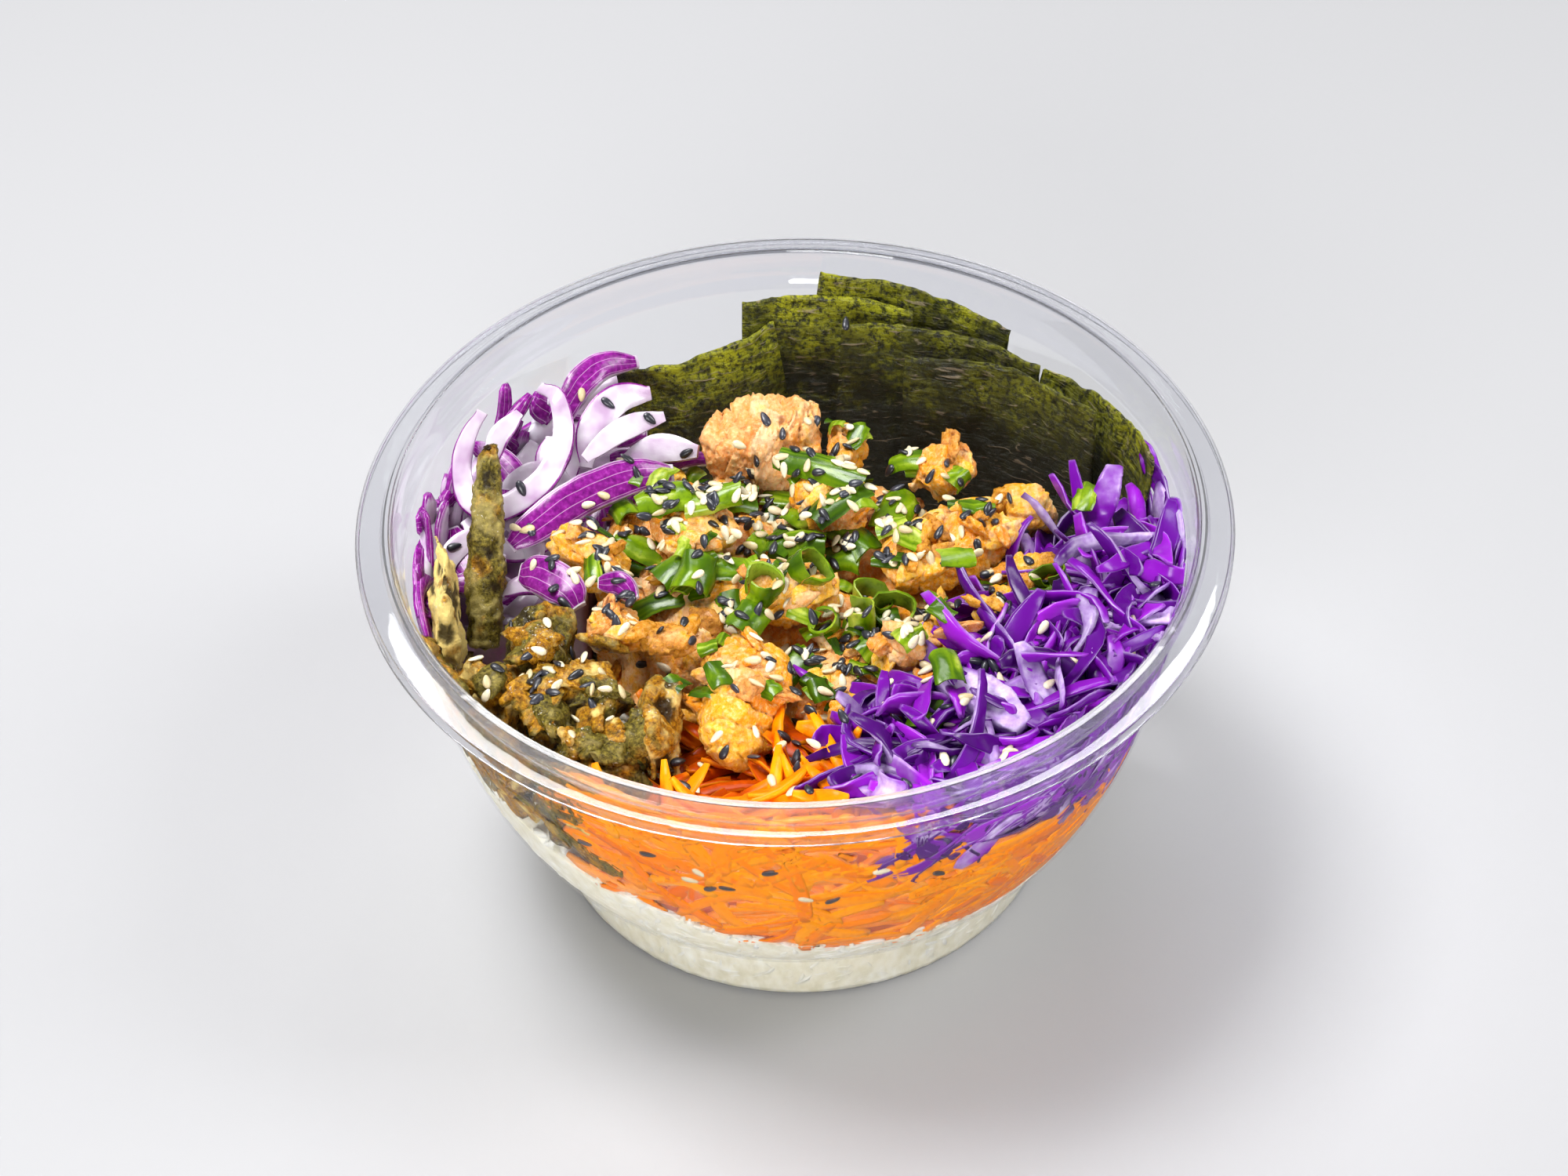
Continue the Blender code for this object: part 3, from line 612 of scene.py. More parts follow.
def strips(path, side, face, width, thick, cup=0.0):
    """Many ribbons at once. path, side and face are (count, steps, 3); width and thick are (count, steps).

    Returns points, faces and how near each point is to its ribbon's edge, from 0 to 1.
    """
    count, steps, _ = path.shape
    m = len(AROUND)
    rows = []
    for a, b in AROUND:
        dip = width * cup * (a * a - 0.08) * 2
        rows.append(path + side * (width * a)[..., None] + face * (thick * b + dip)[..., None])
    edge = np.zeros((count, steps, m))
    edge[:, :, 0] = edge[:, :, 4] = 1.0
    edge[:, :, 5:] = 0.5
    edge[:, 0, :] = edge[:, -1, :] = 0.8
    faces = []
    for start in range(0, count * steps * m, steps * m):
        for a in range(start, start + (steps - 1) * m, m):
            for j in range(m):
                k = (j + 1) % m
                faces.append((a + j, a + k, a + m + k, a + m + j))
        faces.append(tuple(start + j for j in reversed(range(m))))
        faces.append(tuple(start + (steps - 1) * m + j for j in range(m)))
    return np.stack(rows, axis=2).reshape(-1, 3), faces, edge.reshape(-1)


def frames_along(path, up):
    """The sideways and facing directions along many curves, with up as the way the flat side looks."""
    run = unit(np.gradient(path, axis=1))
    side = unit(np.cross(run, up))
    return side, np.cross(side, run)


def twisted(side, face, turn):
    c, s = np.cos(turn)[..., None], np.sin(turn)[..., None]
    return side * c + face * s, face * c - side * s


def copies(points, faces, places, turns, sizes):
    """The same small shape many times: places (n, 3), turns (n, 3, 3) and sizes (n, 3)."""
    out = np.einsum("nij,nkj->nki", turns, points[None] * sizes[:, None, :]) + places[:, None, :]
    step = len(points)
    many = [tuple(v + i * step for v in face) for i in range(len(places)) for face in faces]
    return out.reshape(-1, 3), many


def turns_from(forward, up):
    """Rotation matrices whose X runs along forward and whose Z is as near up as it can be."""
    x = unit(forward)
    y = unit(np.cross(up, x))
    return np.stack([x, y, np.cross(x, y)], axis=-1)


def oval(size, around, rings, taper=0.0):
    """A closed grain or seed along X, thinner towards +X where taper is above 0."""
    length, width, height = size
    points, faces = [(-0.5 * length, 0, 0)], []
    for i in range(1, rings):
        t = math.pi * i / rings
        x = -math.cos(t) * 0.5
        slim = math.sin(t) * (1 - taper * (x + 0.5))
        for j in range(around):
            turn = 2 * math.pi * j / around
            y, z = slim * width / 2 * math.cos(turn), slim * height / 2 * math.sin(turn)
            points.append((x * length, y, z))
    points.append((0.5 * length, 0, 0))
    last = len(points) - 1
    for j in range(around):
        k = (j + 1) % around
        faces.append((0, 1 + k, 1 + j))
        for i in range(rings - 2):
            a = 1 + i * around
            faces.append((a + j, a + k, a + around + k, a + around + j))
        a = 1 + (rings - 2) * around
        faces.append((a + j, a + k, last))
    return np.array(points), faces


class Ground:
    """What loose things come to rest on: the pieces built so far."""

    def __init__(self):
        self.trees = []

    def add(self, made):
        points = [v.co / MM for v in made.data.vertices]
        self.trees.append(BVHTree.FromPolygons(points, [tuple(p.vertices) for p in made.data.polygons]))

    def under(self, x, y, above=130.0):
        """The highest point of the food at a place, and which way it faces."""
        best, facing = None, None
        for tree in self.trees:
            hit = tree.ray_cast(Vector((x, y, above)), Vector((0, 0, -1)))
            if hit[0] is not None and (best is None or hit[0].z > best):
                best, facing = hit[0].z, hit[1]
        return best, facing


ground = Ground()


def food(name, points, faces, values, look, node=None, sharp=None, turned=False):
    """Makes a piece of food, in place of a CAD node where one is given, for later pieces to rest on."""
    mesh = mesh_from(name, points, faces, values)
    if turned:
        outward(mesh)
    ground.add(piece(name, mesh, look, [node] if node else (), sharp))


# --- Bowl ---


def build_bowl():
    line = middle_line()
    outside, inside = offset(line, WALL / 2), offset(line, -WALL / 2)
    angles = np.arange(BOWL_SIDES) * 360 / BOWL_SIDES
    rings, points, faces = [], [], []
    for r, z in np.vstack([outside[::-1], inside]):
        count = 1 if r < 1e-6 else BOWL_SIDES
        rings.append([len(points) + (j if count > 1 else 0) for j in range(BOWL_SIDES)])
        points += polar(angles[:count], r, z).tolist()
    for one, two in zip(rings, rings[1:] + rings[:1]):
        for j in range(BOWL_SIDES):
            k = (j + 1) % BOWL_SIDES
            corners = tuple(dict.fromkeys((one[j], one[k], two[k], two[j])))
            if len(corners) > 2:
                faces.append(corners)
    mesh = outward(mesh_from("clear_bowl", points, faces))
    wall = clear_plastic("clear_wall", 0.86, (0.99, 0.99, 1.0), 0.15)
    piece("clear_bowl", mesh, wall, ["bowl"], sharp=50)
    mesh.materials.append(clear_plastic("clear_rim", 0.12, (0.90, 0.905, 0.95), 0.6))
    rim = [int(p.center.z > BROW[1] * MM) for p in mesh.polygons]
    mesh.polygons.foreach_set("material_index", rim)


# --- Rice ---


def build_rice():
    points, faces = grown("rice", RICE_GRID)
    press_to_wall(points, 0.1)
    floor = points[:, 2] < PUSH_UP + WALL + 1.0
    points[floor, 2] -= 0.55
    up = ramp_between(normals_of(points, faces)[:, 2], 0.3, 0.8)
    points[:, 2] += up * (0.9 * rough(points, 3.0, 2) - 0.6)
    look = rice_look()
    food("rice_bed", points, faces, {"tone": np.full(len(points), 0.1)}, look, "rice")

    rng = dice(11)
    grain, grain_faces = oval(GRAIN, around=5, rings=5)
    places, turns = [], []
    for _ in range(GRAINS_AT_WALL):
        angle = rng.uniform(0, 360)
        top = rice_edge(angle)
        z = rng.uniform(2.2, 15.5) if rng.random() < 0.4 else rng.uniform(15, top)
        out = polar(angle, 1.0)
        slope = float(inner(z + 1) - inner(z - 1)) / 2
        climb = unit(out * slope + np.array([0, 0, 1.0]))
        across = np.array([-out[1], out[0], 0])
        lean = rng.uniform(0, math.pi)
        places.append(polar(angle, float(inner(z)) - 0.55 + rng.uniform(-0.25, 0.05), z))
        turns.append(turns_from(climb * math.cos(lean) + across * math.sin(lean), out - climb * slope))
    for _ in range(GRAINS_ON_TOP):
        x, y, _ = polar(rng.uniform(0, 360), 74 * math.sqrt(rng.random()))
        z, _ = ground.under(x, y)
        if z is None or z < 20:
            continue
        lean, tip = rng.uniform(0, 2 * math.pi), rng.uniform(-0.35, 0.35)
        places.append(np.array([x, y, z + rng.uniform(-0.3, 0.8)]))
        turns.append(turns_from((math.cos(lean), math.sin(lean), tip), (0, 0, 1)))
    sizes = rng.uniform(0.8, 1.15, (len(places), 3))
    points, faces = copies(grain, grain_faces, np.array(places), np.array(turns), sizes)
    keep_inside(points, into=0.35)
    tone = np.repeat(rng.uniform(0.2, 1.0, len(places)), len(grain))
    piece("rice_grains", mesh_from("rice_grains", points, faces, {"tone": tone}), look)


# --- Heaps of strips ---


def heap_core(node, look, lower=1.6, tone=0.0):
    """A heap's solid, drawn in a little under its loose top and out to just short of the wall beside it."""
    points, faces = grown(node, CORE_GRID)
    normals = normals_of(points, faces)
    points += normals * (0.5 * rough(points, 4.0, 2))[:, None]
    points[:, 2] -= ramp_between(normals[:, 2], 0.2, 0.7) * lower
    press_to_wall(points, -0.7)
    # Painted shade: the core is given a low, dark tone, so that the gaps between the loose strips over it read
    # as shade.
    values = {"tone": np.full(len(points), tone), "edge": np.zeros(len(points))}
    food(node + "_core", points, faces, values, look, node)


def centred(steps, size):
    """Shares of a strip's length from -0.5 to 0.5, and the gap between its points."""
    return np.linspace(-0.5, 0.5, steps)[None, :], (size / (steps - 1))[:, None]


def spans(rng, count, width, thick, taper):
    """The width and thickness along each strip."""
    wide = rng.uniform(*width, count)[:, None] * taper
    return wide, rng.uniform(*thick, count)[:, None] * np.clip(taper + 0.2, 0, 1)


def wall_strips(rng, count, span, low, high, length, width, thick, steps, depth):
    """Strips that lie along the inside of the wall between two angles and two heights."""
    angle = rng.uniform(*span, count)
    bottom = low(angle)
    top = high(angle) if callable(high) else np.full(count, high)
    z = bottom + (top - bottom) * rng.random(count)
    size = rng.uniform(*length, count)
    lean = rng.normal(0, 0.75, count)
    bend = rng.normal(0, 0.9, count)
    s, gap = centred(steps, size)
    turn = lean[:, None] + bend[:, None] * s
    run = np.cumsum(np.cos(turn) * gap, axis=1)
    rise = np.cumsum(np.sin(turn) * gap, axis=1)
    run -= run.mean(1, keepdims=True)
    rise -= rise.mean(1, keepdims=True)
    height = np.clip(z[:, None] + rise * 0.85, 3, 84)
    radius = inner(height) - rng.uniform(0.05, depth, count)[:, None]
    around = np.radians(angle)[:, None] + run / radius
    path = np.stack([radius * np.cos(around), radius * np.sin(around), height], -1)
    out = unit(np.stack([np.cos(around), np.sin(around), -0.45 + 0 * around], -1))
    side, face = frames_along(path, out)
    side, face = twisted(side, face, rng.normal(0, 0.25, count)[:, None] + 0 * s)
    return path, side, face, *spans(rng, count, width, thick, np.clip(1.25 - np.abs(s) ** 3 * 6, 0.35, 1))


def loose_strips(rng, places, heading, length, width, thick, steps, pitch=0.25, bend=1.2, roll=0.5):
    """Strips that lie about given places, curved in the plane and a little off it."""
    count = len(places)
    size = rng.uniform(*length, count)
    s, gap = centred(steps, size)
    turn = heading[:, None] + rng.normal(0, bend, count)[:, None] * s
    s = np.linspace(-1, 1, steps)[None, :]
    climb = rng.normal(0, pitch, count)[:, None] + rng.normal(0, 0.35, count)[:, None] * s
    move = np.stack([np.cos(turn) * np.cos(climb), np.sin(turn) * np.cos(climb), np.sin(climb)], -1)
    path = np.cumsum(move * gap[..., None], axis=1)
    path += (places - path.mean(1))[:, None, :]
    side, face = frames_along(path, np.array([0, 0, 1.0]))
    tilt = rng.normal(0, roll, count)[:, None]
    side, face = twisted(side, face, tilt + rng.normal(0, roll, count)[:, None] * s)
    return path, side, face, *spans(rng, count, width, thick, np.clip(1.2 - np.abs(s) ** 3 * 0.75, 0.3, 1))


def on_heap(rng, count, span, radii, lift):
    """Places on top of the food between two angles and two radii."""
    places = []
    while len(places) < count:
        angle = rng.uniform(*span)
        x, y, _ = polar(angle, math.sqrt(rng.uniform(radii[0] ** 2, radii[1] ** 2)))
        z, _ = ground.under(x, y)
        if z is not None:
            places.append((x, y, z + rng.uniform(*lift)))
    return np.array(places)


def crinkle(rng, part, amount, waves):
    """Makes flat strips wavy across their faces."""
    path, side, face, wide, deep = part
    count, steps, _ = path.shape
    s = np.linspace(0, 1, steps)[None, :]
    wave = np.sin(2 * np.pi * (rng.uniform(*waves, count)[:, None] * s + rng.random(count)[:, None]))
    path = path + face * (amount * wave)[..., None]
    side, face = twisted(side, face, rng.normal(0, 0.9, count)[:, None] * (s - 0.5) + 0.25 * wave)
    return path, side, face, wide, deep


def join(*parts):
    """Joins sets of strips, each with its cup: points, faces, edges, each point's strip and the count."""
    pile = Pile()
    count = 0
    for part, cup in parts:
        points, faces, edge = strips(*part, cup)
        size = len(part[0])
        pile.add(points, faces, edge=edge, owner=np.repeat(np.arange(size), len(points) // size) + count)
        count += size
    points, faces, values = pile.whole()
    return points, faces, values["edge"], values["owner"], count


def build_carrot():
    look = carrot_look()
    heap_core("carrot", look)
    rng = dice(21)

    def low(angle):
        return rice_edge(angle) + 2

    def high(angle):
        return np.where(angle < 288, 82, np.where(angle < 314, 62, 52))

    wall = wall_strips(rng, CARROT_AT_WALL, (238, 334), low, high, (12, 32), (2.6, 5.4), (1.0, 2.0), 9, 2.4)
    places = on_heap(rng, CARROT_ON_TOP, (238, 300), (38, 80), (0.0, 3.6))
    top = loose_strips(rng, places, rng.normal(0.2, 0.9, len(places)), (16, 40), (2.2, 4.2), (0.9, 1.6), 9)
    points, faces, edge, owner, count = join((wall, 0.12), (top, 0.2))
    keep_inside(points, into=0.1)
    tone = np.clip(rng.normal(0.6, 0.22, count), 0.2, 1)[owner]
    # Painted shade: below 78 mm, strips that lie deeper in from the wall get a darker tone.
    deep = inner(points[:, 2]) - np.hypot(points[:, 0], points[:, 1])
    tone = np.clip(tone - 0.75 * ramp_between(deep, 0.3, 2.0) * (points[:, 2] < 78), 0, 1)
    food("carrot_shreds", points, faces, {"tone": tone, "edge": edge}, look)


def build_cabbage():
    look = cabbage_look()
    heap_core("cabbage", look, lower=2.2, tone=0.1)
    rng = dice(31)

    def low(angle):
        return np.where(angle < 312, 64, np.where(angle < 332, 54, above_rice(angle)))

    wall = wall_strips(rng, CABBAGE_AT_WALL, (286, 372), low, 84, (12, 30), (3.0, 7.5), (0.7, 1.3), 12, 3.0)
    places = on_heap(rng, CABBAGE_ON_TOP, (282, 368), (44, 78), (0.5, 5.0))
    heading = rng.uniform(0, math.pi, len(places))
    bends = {"pitch": 0.3, "bend": 1.7, "roll": 1.2}
    top = loose_strips(rng, places, heading, (22, 52), (2.6, 6.4), (0.8, 1.5), 14, **bends)
    wall, top = crinkle(rng, wall, 0.4, (1, 2.5)), crinkle(rng, top, 1.1, (1.0, 2.6))
    points, faces, edge, owner, count = join((wall, 0.2), (top, 0.3))
    keep_inside(points)
    tone = np.clip(rng.normal(0.55, 0.28, count), 0, 1)[owner]
    paleness = rng.random(count)[owner]
    patch = 0.5 + 0.5 * rough(points, 5.0, 2)
    inside = (edge == 0.5) * (paleness > 0.72)
    pale = np.where(paleness < 0.11, 0.15 + 0.8 * patch, 0.52 * edge + 0.15 * patch + 0.3 * inside)
    food("cabbage_shreds", points, faces, {"tone": tone, "edge": np.clip(pale, 0, 1)}, look)
    for node in starting("cabbage"):
        points, faces = grown(node, LUMP_GRID)
        points += normals_of(points, faces) * (0.35 * rough(points, 2.5, 2))[:, None]
        keep_inside(points)
        low, high = box_of(node)
        share = (points[:, 2] - low[2]) / (high[2] - low[2])
        patch = 0.5 + 0.6 * rough(points, 6.0, 2)
        white = 0.9 if "wedge" in node else 0.45
        values = {"tone": 0.45 + 0.4 * patch, "edge": np.clip(white * patch + 0.25 * (share > 0.4), 0, 1)}
        food(node + "_leaf", points, faces, values, look, node)


# --- Salmon ---

# How browned the pieces of salmon are, and how golden
SALMON_TONES = {
    "salmon_back": (-0.35, -0.3),
    "salmon_back_right": (0.2, 0.3),
    "salmon_right": (-0.1, 0.3),
    "salmon_front": (-0.1, 0.25),
    "salmon_front_right": (0.1, 0.4),
    "salmon_crisp_edge": (0.45, 0.1),
    "salmon_skin_scrap": (0.5, 0.1),
    "salmon_left": (0.1, 0.2),
    "salmon_left_front": (0.1, 0.2),
}
BARE = (-5, 38, 14)  # the lump of salmon at the back that little lies on: its place and radius


def flaky(points, faces, lean, layer, deep, seed):
    """Breaks a smooth lump into the layers of a cooked fillet: points, their relief, which paints shade into
    the gaps between flakes, and their flake.
    """
    normals = normals_of(points, faces)
    first = unit(np.array([math.cos(lean), math.sin(lean), 0.45]))
    second = unit(np.cross(first, (0, 0, 1.0)))
    basis = np.stack([first, second, np.cross(first, second)])
    spread = np.array([layer, layer * 4.0, layer * 3.2])
    place = points @ basis.T / spread + seed * 3.3
    place += 0.38 * shifts(points, 7.0, apart=31)
    gap, flake, along_x, _ = cells_at(place)
    apart = ramp_between(gap, 0.0, 0.12)
    relief = (0.35 + 0.65 * apart) * (0.45 + 0.40 * flake + 0.45 * along_x)
    fibre = rough(points @ basis.T * np.array([1.8, 0.35, 1.0]), 1.6, 3)
    grit = rough(points + 7, 0.9, 2)
    chunk = rough(points + seed * 5, 6.0, 3)
    out = deep * (0.8 * relief - 0.4 + 0.34 * fibre + 0.12 * grit + 0.4 * chunk)
    shown = np.clip(0.2 + relief + 0.35 * fibre + 0.2 * grit + 0.3 * chunk, 0, 1)
    return points + normals * out[:, None], shown, flake


def build_salmon():
    look = salmon_look()
    rng = dice(41)
    points, faces = grown("salmon_flakes", BED_GRID)
    shown = ramp_between(normals_of(points, faces)[:, 2], -0.2, 0.3)
    moved, relief, flake = flaky(points, faces, 0.6, 4.4, 2.4, 1)
    points = points + (moved - points) * shown[:, None]
    sear = 0.5 + 0.45 * rough(points, 8.0, 2)
    gold = 0.5 + 0.5 * rough(points + 50, 9.0, 2)
    values = {"relief": relief, "sear": sear, "gold": gold, "flake": flake}
    food("salmon_bed", points, faces, values, look, "salmon_flakes")
    for seed, node in enumerate(n for n in starting("salmon") if n != "salmon_flakes"):
        points, faces = grown(node, LUMP_GRID)
        low, high = box_of(node)
        middle, half = (low + high) / 2, (high - low) / 2
        reach = np.linalg.norm((points - middle) / half, axis=1)
        rounder = np.minimum(1, (1.04 / np.maximum(reach, 1e-6)) ** 0.8)
        points = middle + (points - middle) * rounder[:, None]
        layer, deep = (3.2, 2.6) if node == "salmon_back" else (rng.uniform(4.0, 6.0), 1.8)
        points, relief, flake = flaky(points, faces, rng.uniform(0, math.pi), layer, deep, seed + 2)
        keep_inside(points)
        brown, golden = SALMON_TONES.get(node, (0.0, 0.1))
        sear = 0.26 + brown + 0.45 * rough(points + seed, 7.0, 2)
        gold = 0.52 + golden + 0.6 * rough(points + seed * 7, 9.0, 2)
        values = {"relief": relief, "sear": sear, "gold": gold, "flake": flake}
        food(node + "_flesh", points, faces, values, look, node)
    build_flakes(look)


def crumbs(rng, count, where, sizes, sink_in):
    """Small broken lumps that lie on the food: points, faces, how knobbly each point is, which the looks use
    for painted shade in the dents, and whose it is.
    """
    bm = bmesh.new()
    bmesh.ops.create_icosphere(bm, subdivisions=3, radius=1)
    ball = np.array([v.co[:] for v in bm.verts])
    faces = [tuple(v.index for v in f.verts) for f in bm.faces]
    bm.free()
    pile = Pile()
    for i in range(count):
        x, y = where(rng)
        z, facing = ground.under(x, y)
        if z is None:
            continue
        half = np.array([rng.uniform(*size) for size in sizes])
        shape = ball * (1 + 0.6 * rough(ball * 1.6 + i * 3.1, 1.0, 3))[:, None] * half
        lumps = rough(shape + i * 7.7, 1.6, 2)
        shape *= (1 + 0.3 * lumps)[:, None]
        lean = rng.uniform(0, 2 * math.pi)
        up = unit(np.array(facing) + rng.normal(0, 0.35, 3))
        turn = turns_from((math.cos(lean), math.sin(lean), 0.1), up)
        place = np.array([x, y, z + half[2] * sink_in])
        owner = np.full(len(ball), len(pile.points))
        pile.add(shape @ turn.T + place, faces, relief=np.clip(0.5 + 0.6 * lumps, 0, 1), owner=owner)
    points, faces, values = pile.whole()
    return keep_inside(points), faces, values["relief"], values["owner"]


def within(radius, x=0.0, y=0.0):
    """Picks a place in a circle, off the bare lump of salmon."""

    def pick(rng):
        while True:
            spot = polar(rng.uniform(0, 360), radius * math.sqrt(rng.random()))[:2] + np.array([x, y])
            if math.hypot(spot[0] - BARE[0], spot[1] - BARE[1]) > BARE[2]:
                return spot

    return pick


def build_flakes(look):
    """Small broken flakes that fill in between the large pieces of salmon."""
    rng = dice(43)
    sizes = ((2.4, 5.6), (1.4, 3.0), (0.7, 1.5))
    points, faces, relief, owner = crumbs(rng, SALMON_CRUMBS, within(48), sizes, 0.25)
    count = owner[-1] + 1
    values = {"relief": relief, "sear": rng.uniform(0.1, 0.95, count)[owner]}
    values.update({"gold": rng.uniform(0.2, 1.1, count)[owner], "flake": rng.random(count)[owner]})
    food("salmon_crumbs", points, faces, values, look)


# --- Crisp skin ---

# How golden the pieces of crisp skin are; the rest are olive brown
CRISP_TONES = {
    "crisp_yellow": 1.3,
    "crisp_wall": 0.9,
    "crisp_golden": 0.45,
    "crisp_slab": 0.8,
    "crisp_front": 0.5,
    "crisp_low": 0.7,
    "crisp_low_back": 0.95,
    "crisp_stick": 0.18,
    "crisp_grey": 0.3,
}
CRISP_TONE = 0.42


def build_crisp():
    look = crisp_look()
    rng = dice(45)
    for seed, node in enumerate(starting("crisp")):
        points, faces = grown(node, CRISP_GRID)
        normals = normals_of(points, faces)
        knobs = rough(points + seed * 11, 5.5, 2)
        folds = 1 - 2.2 * np.abs(rough(points + seed * 3, 6.0, 1))
        grit = rough(points + seed * 5, 1.1, 3)
        near = cells_at(points / 2.2 + seed)[3]
        bubbles = np.clip(0.7 - near, 0, 1)
        swell, lift = 1.3 * knobs + 0.7 * folds + 0.7 * bubbles + 0.45 * grit - 0.7, 0.15
        if node == "crisp_stick":
            thin = 1.1 * ramp_between(points[:, 2], 84, 94)
            swell, lift = 0.9 * knobs + 0.9 * bubbles + 0.7 * grit - thin, 0.4
        points = keep_inside(points + normals * swell[:, None])
        # relief is high on bubbles, folds and knobs and low in the hollows, and the look paints light and shade
        # from it; the stick's larger lift gives it less painted shade and more painted highlight.
        relief = np.clip(lift + 0.5 * bubbles + 0.45 * folds + 0.4 * knobs + 0.3 * grit, 0, 1)
        tone = CRISP_TONES.get(node, CRISP_TONE) + 0.15 * rough(points, 4.0, 2)
        values = {"relief": relief, "tone": tone}
        food(node + "_skin", points, faces, values, look, node)
    sizes = ((2.5, 6.5), (2.0, 4.5), (1.0, 2.6))
    points, faces, relief, owner = crumbs(rng, CRISP_CRUMBS, within(19, -47, -42), sizes, 0.1)
    values = {"relief": relief, "tone": rng.uniform(0.1, 0.95, owner[-1] + 1)[owner]}
    food("crisp_crumbs", points, faces, values, look)
    sizes = ((10, 22), (5, 10), (1.2, 2.2))
    wall = wall_strips(rng, CRISP_AT_WALL, (200, 236), above_rice, 83, *sizes, 16, 2.4)
    points, faces, _, owner, count = join((crinkle(rng, wall, 0.5, (1, 3)), 0.25))
    points += 0.7 * shifts(points, 3.5, 3)
    keep_inside(points, into=0.1)
    relief = np.clip(0.5 + 0.7 * rough(points, 2.5, 3), 0, 1)
    values = {"relief": relief, "tone": rng.uniform(0.15, 0.95, count)[owner]}
    food("crisp_by_wall", points, faces, values, look)


# --- Nori ---

# How much darker some sheets of nori are
NORI_SHADES = {
    "nori_second": 0.15,
    "nori_tip": 0.15,
    "nori_middle": 0.5,
    "nori_front": 0.65,
    "nori_right": 0.35,
}
NORI_CUTS = 6


def build_nori():
    look = nori_look()
    for seed, node in enumerate(starting("nori")):
        bm = bmesh.new()
        bm.from_mesh(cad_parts[node].data)
        bmesh.ops.remove_doubles(bm, verts=bm.verts, dist=1e-7)
        bmesh.ops.subdivide_edges(bm, edges=bm.edges, cuts=NORI_CUTS, use_grid_fill=True)
        points = np.array([v.co[:] for v in bm.verts]) / MM
        bm.verts.index_update()
        faces = [tuple(v.index for v in f.verts) for f in bm.faces]
        bm.free()
        top = box_of(node)[1][2]

        def waves(upright, step, size, octaves=2):
            """Noise across the sheet. The smaller upright is, the longer its waves run up and down."""
            return rough(points * np.array([1, 1, upright]) + seed * step, size, octaves)

        sway = 1.0 * waves(1, 9, 12.0) + 0.5 * waves(0.6, 4, 4.0)
        sway += 1.1 * np.abs(waves(0.5, 6, 6.0))
        sway += 0.6 * np.abs(waves(1.6, 2, 2.6))
        points += unit(points * FLAT) * sway[:, None]
        points[:, 2] += 1.3 * waves(0.1, 1, 6.0, 3) * ramp_between(points[:, 2], top - 12, top)
        keep_inside(points)
        height = points[:, 2]
        # Painted light: lighter near each sheet's top, and less so on the sheets that are painted darker.
        painted_light = np.clip(ramp_between(height, top - 22, top) * (0.55 + 0.8 * rough(points, 7.0, 2)), 0, 1)
        shade = NORI_SHADES.get(node, 0.0) + 0.4 * (1 - ramp_between(height, top - 40, top - 8))
        values = {"painted_light": np.clip(painted_light * (1.2 - shade), 0, 1), "shade": shade}
        food(node + "_sheet", points, faces, values, look, node)


# --- Onion ---

# Onion slices: the middle line, the width of the flat side, the thickness and where the skin is
HOOK = ((-55, 47, 87), (-51, 43, 87), (-50, 36, 82), (-54, 27.5, 78), (-62, 22.5, 74.5))
HOOK += ((-69, 22.5, 74.5), (-72.2, 28, 77), (-71.5, 34, 83), (-67.5, 38.5, 88))
BAND = ((-62.5, 13.5, 72.5), (-57, 17, 75), (-47, 23.5, 77.5), (-36, 28.5, 78.5), (-27, 31, 77))
CUT_END = ((-59, 3, 73.5), (-54.5, -0.5, 76), (-49, -6, 76.5), (-46.5, -10, 75))
BACK = ((-34, 61.5, 82), (-42, 57, 84.5), (-48, 50.5, 82.5), (-51.5, 43.5, 77))
STRIPED = ((-31, 51.5, 81), (-38.5, 48.5, 82), (-44, 41.5, 79.5), (-45.5, 34, 75))
ONION_SLICES = {
    "onion_hook": (HOOK, 5.6, 3.4, "right"),
    "onion_inner_hook": (((-59.5, 40, 86), (-64, 34.5, 84), (-66.5, 28.5, 80)), 4.6, 2.4, "right"),
    "onion_purple_band": (BAND, 8.6, 3.2, "face"),
    "onion_cut_end": (CUT_END, 9.0, 4.0, "face"),
    "onion_back": (BACK, 6.5, 3.0, "face"),
    "onion_striped": (STRIPED, 7.0, 2.6, "left"),
    "onion_diagonal": (((-27, 43.5, 81), (-36, 39.5, 81), (-44.5, 32.5, 79)), 5.0, 1.6, "none"),
    "onion_broad": (((-38, 37, 75.5), (-30, 38, 78), (-21.5, 35.5, 79)), 6.5, 2.2, "none"),
    "onion_by_wall": (((-77.5, 20.5, 72), (-75.5, 13.5, 71), (-72, 6.5, 69.5)), 6.5, 2.6, "face"),
    "onion_pink": (((-64, 30, 71), (-57, 33.5, 73), (-49, 31.5, 72)), 8.0, 2.6, "left"),
    "onion_small": (((-42, -7, 79.5), (-37.5, -9, 81), (-34.5, -13, 80)), 5.4, 2.8, "face"),
}
ONION_FACING = (0, -0.64, 0.77)
SKIN_PLACES = ("left", "right", "face", "none")


def curve_through(points, steps):
    """Places along a smooth curve through the points, and which way the curve runs there."""
    points = np.array(points, float)
    padded = np.vstack([2 * points[:1] - points[1:2], points, 2 * points[-1:] - points[-2:-1]])
    t = (np.arange(steps) / steps)[:, None]
    places = []
    for a, b, c, d in zip(padded, padded[1:], padded[2:], padded[3:]):
        bend = (2 * a - 5 * b + 4 * c - d) * t**2 + (3 * b - a - 3 * c + d) * t**3
        places.append(b + ((c - a) * t + bend) / 2)
    places = np.vstack(places + [points[-1:]])
    return places, unit(np.gradient(places, axis=0))


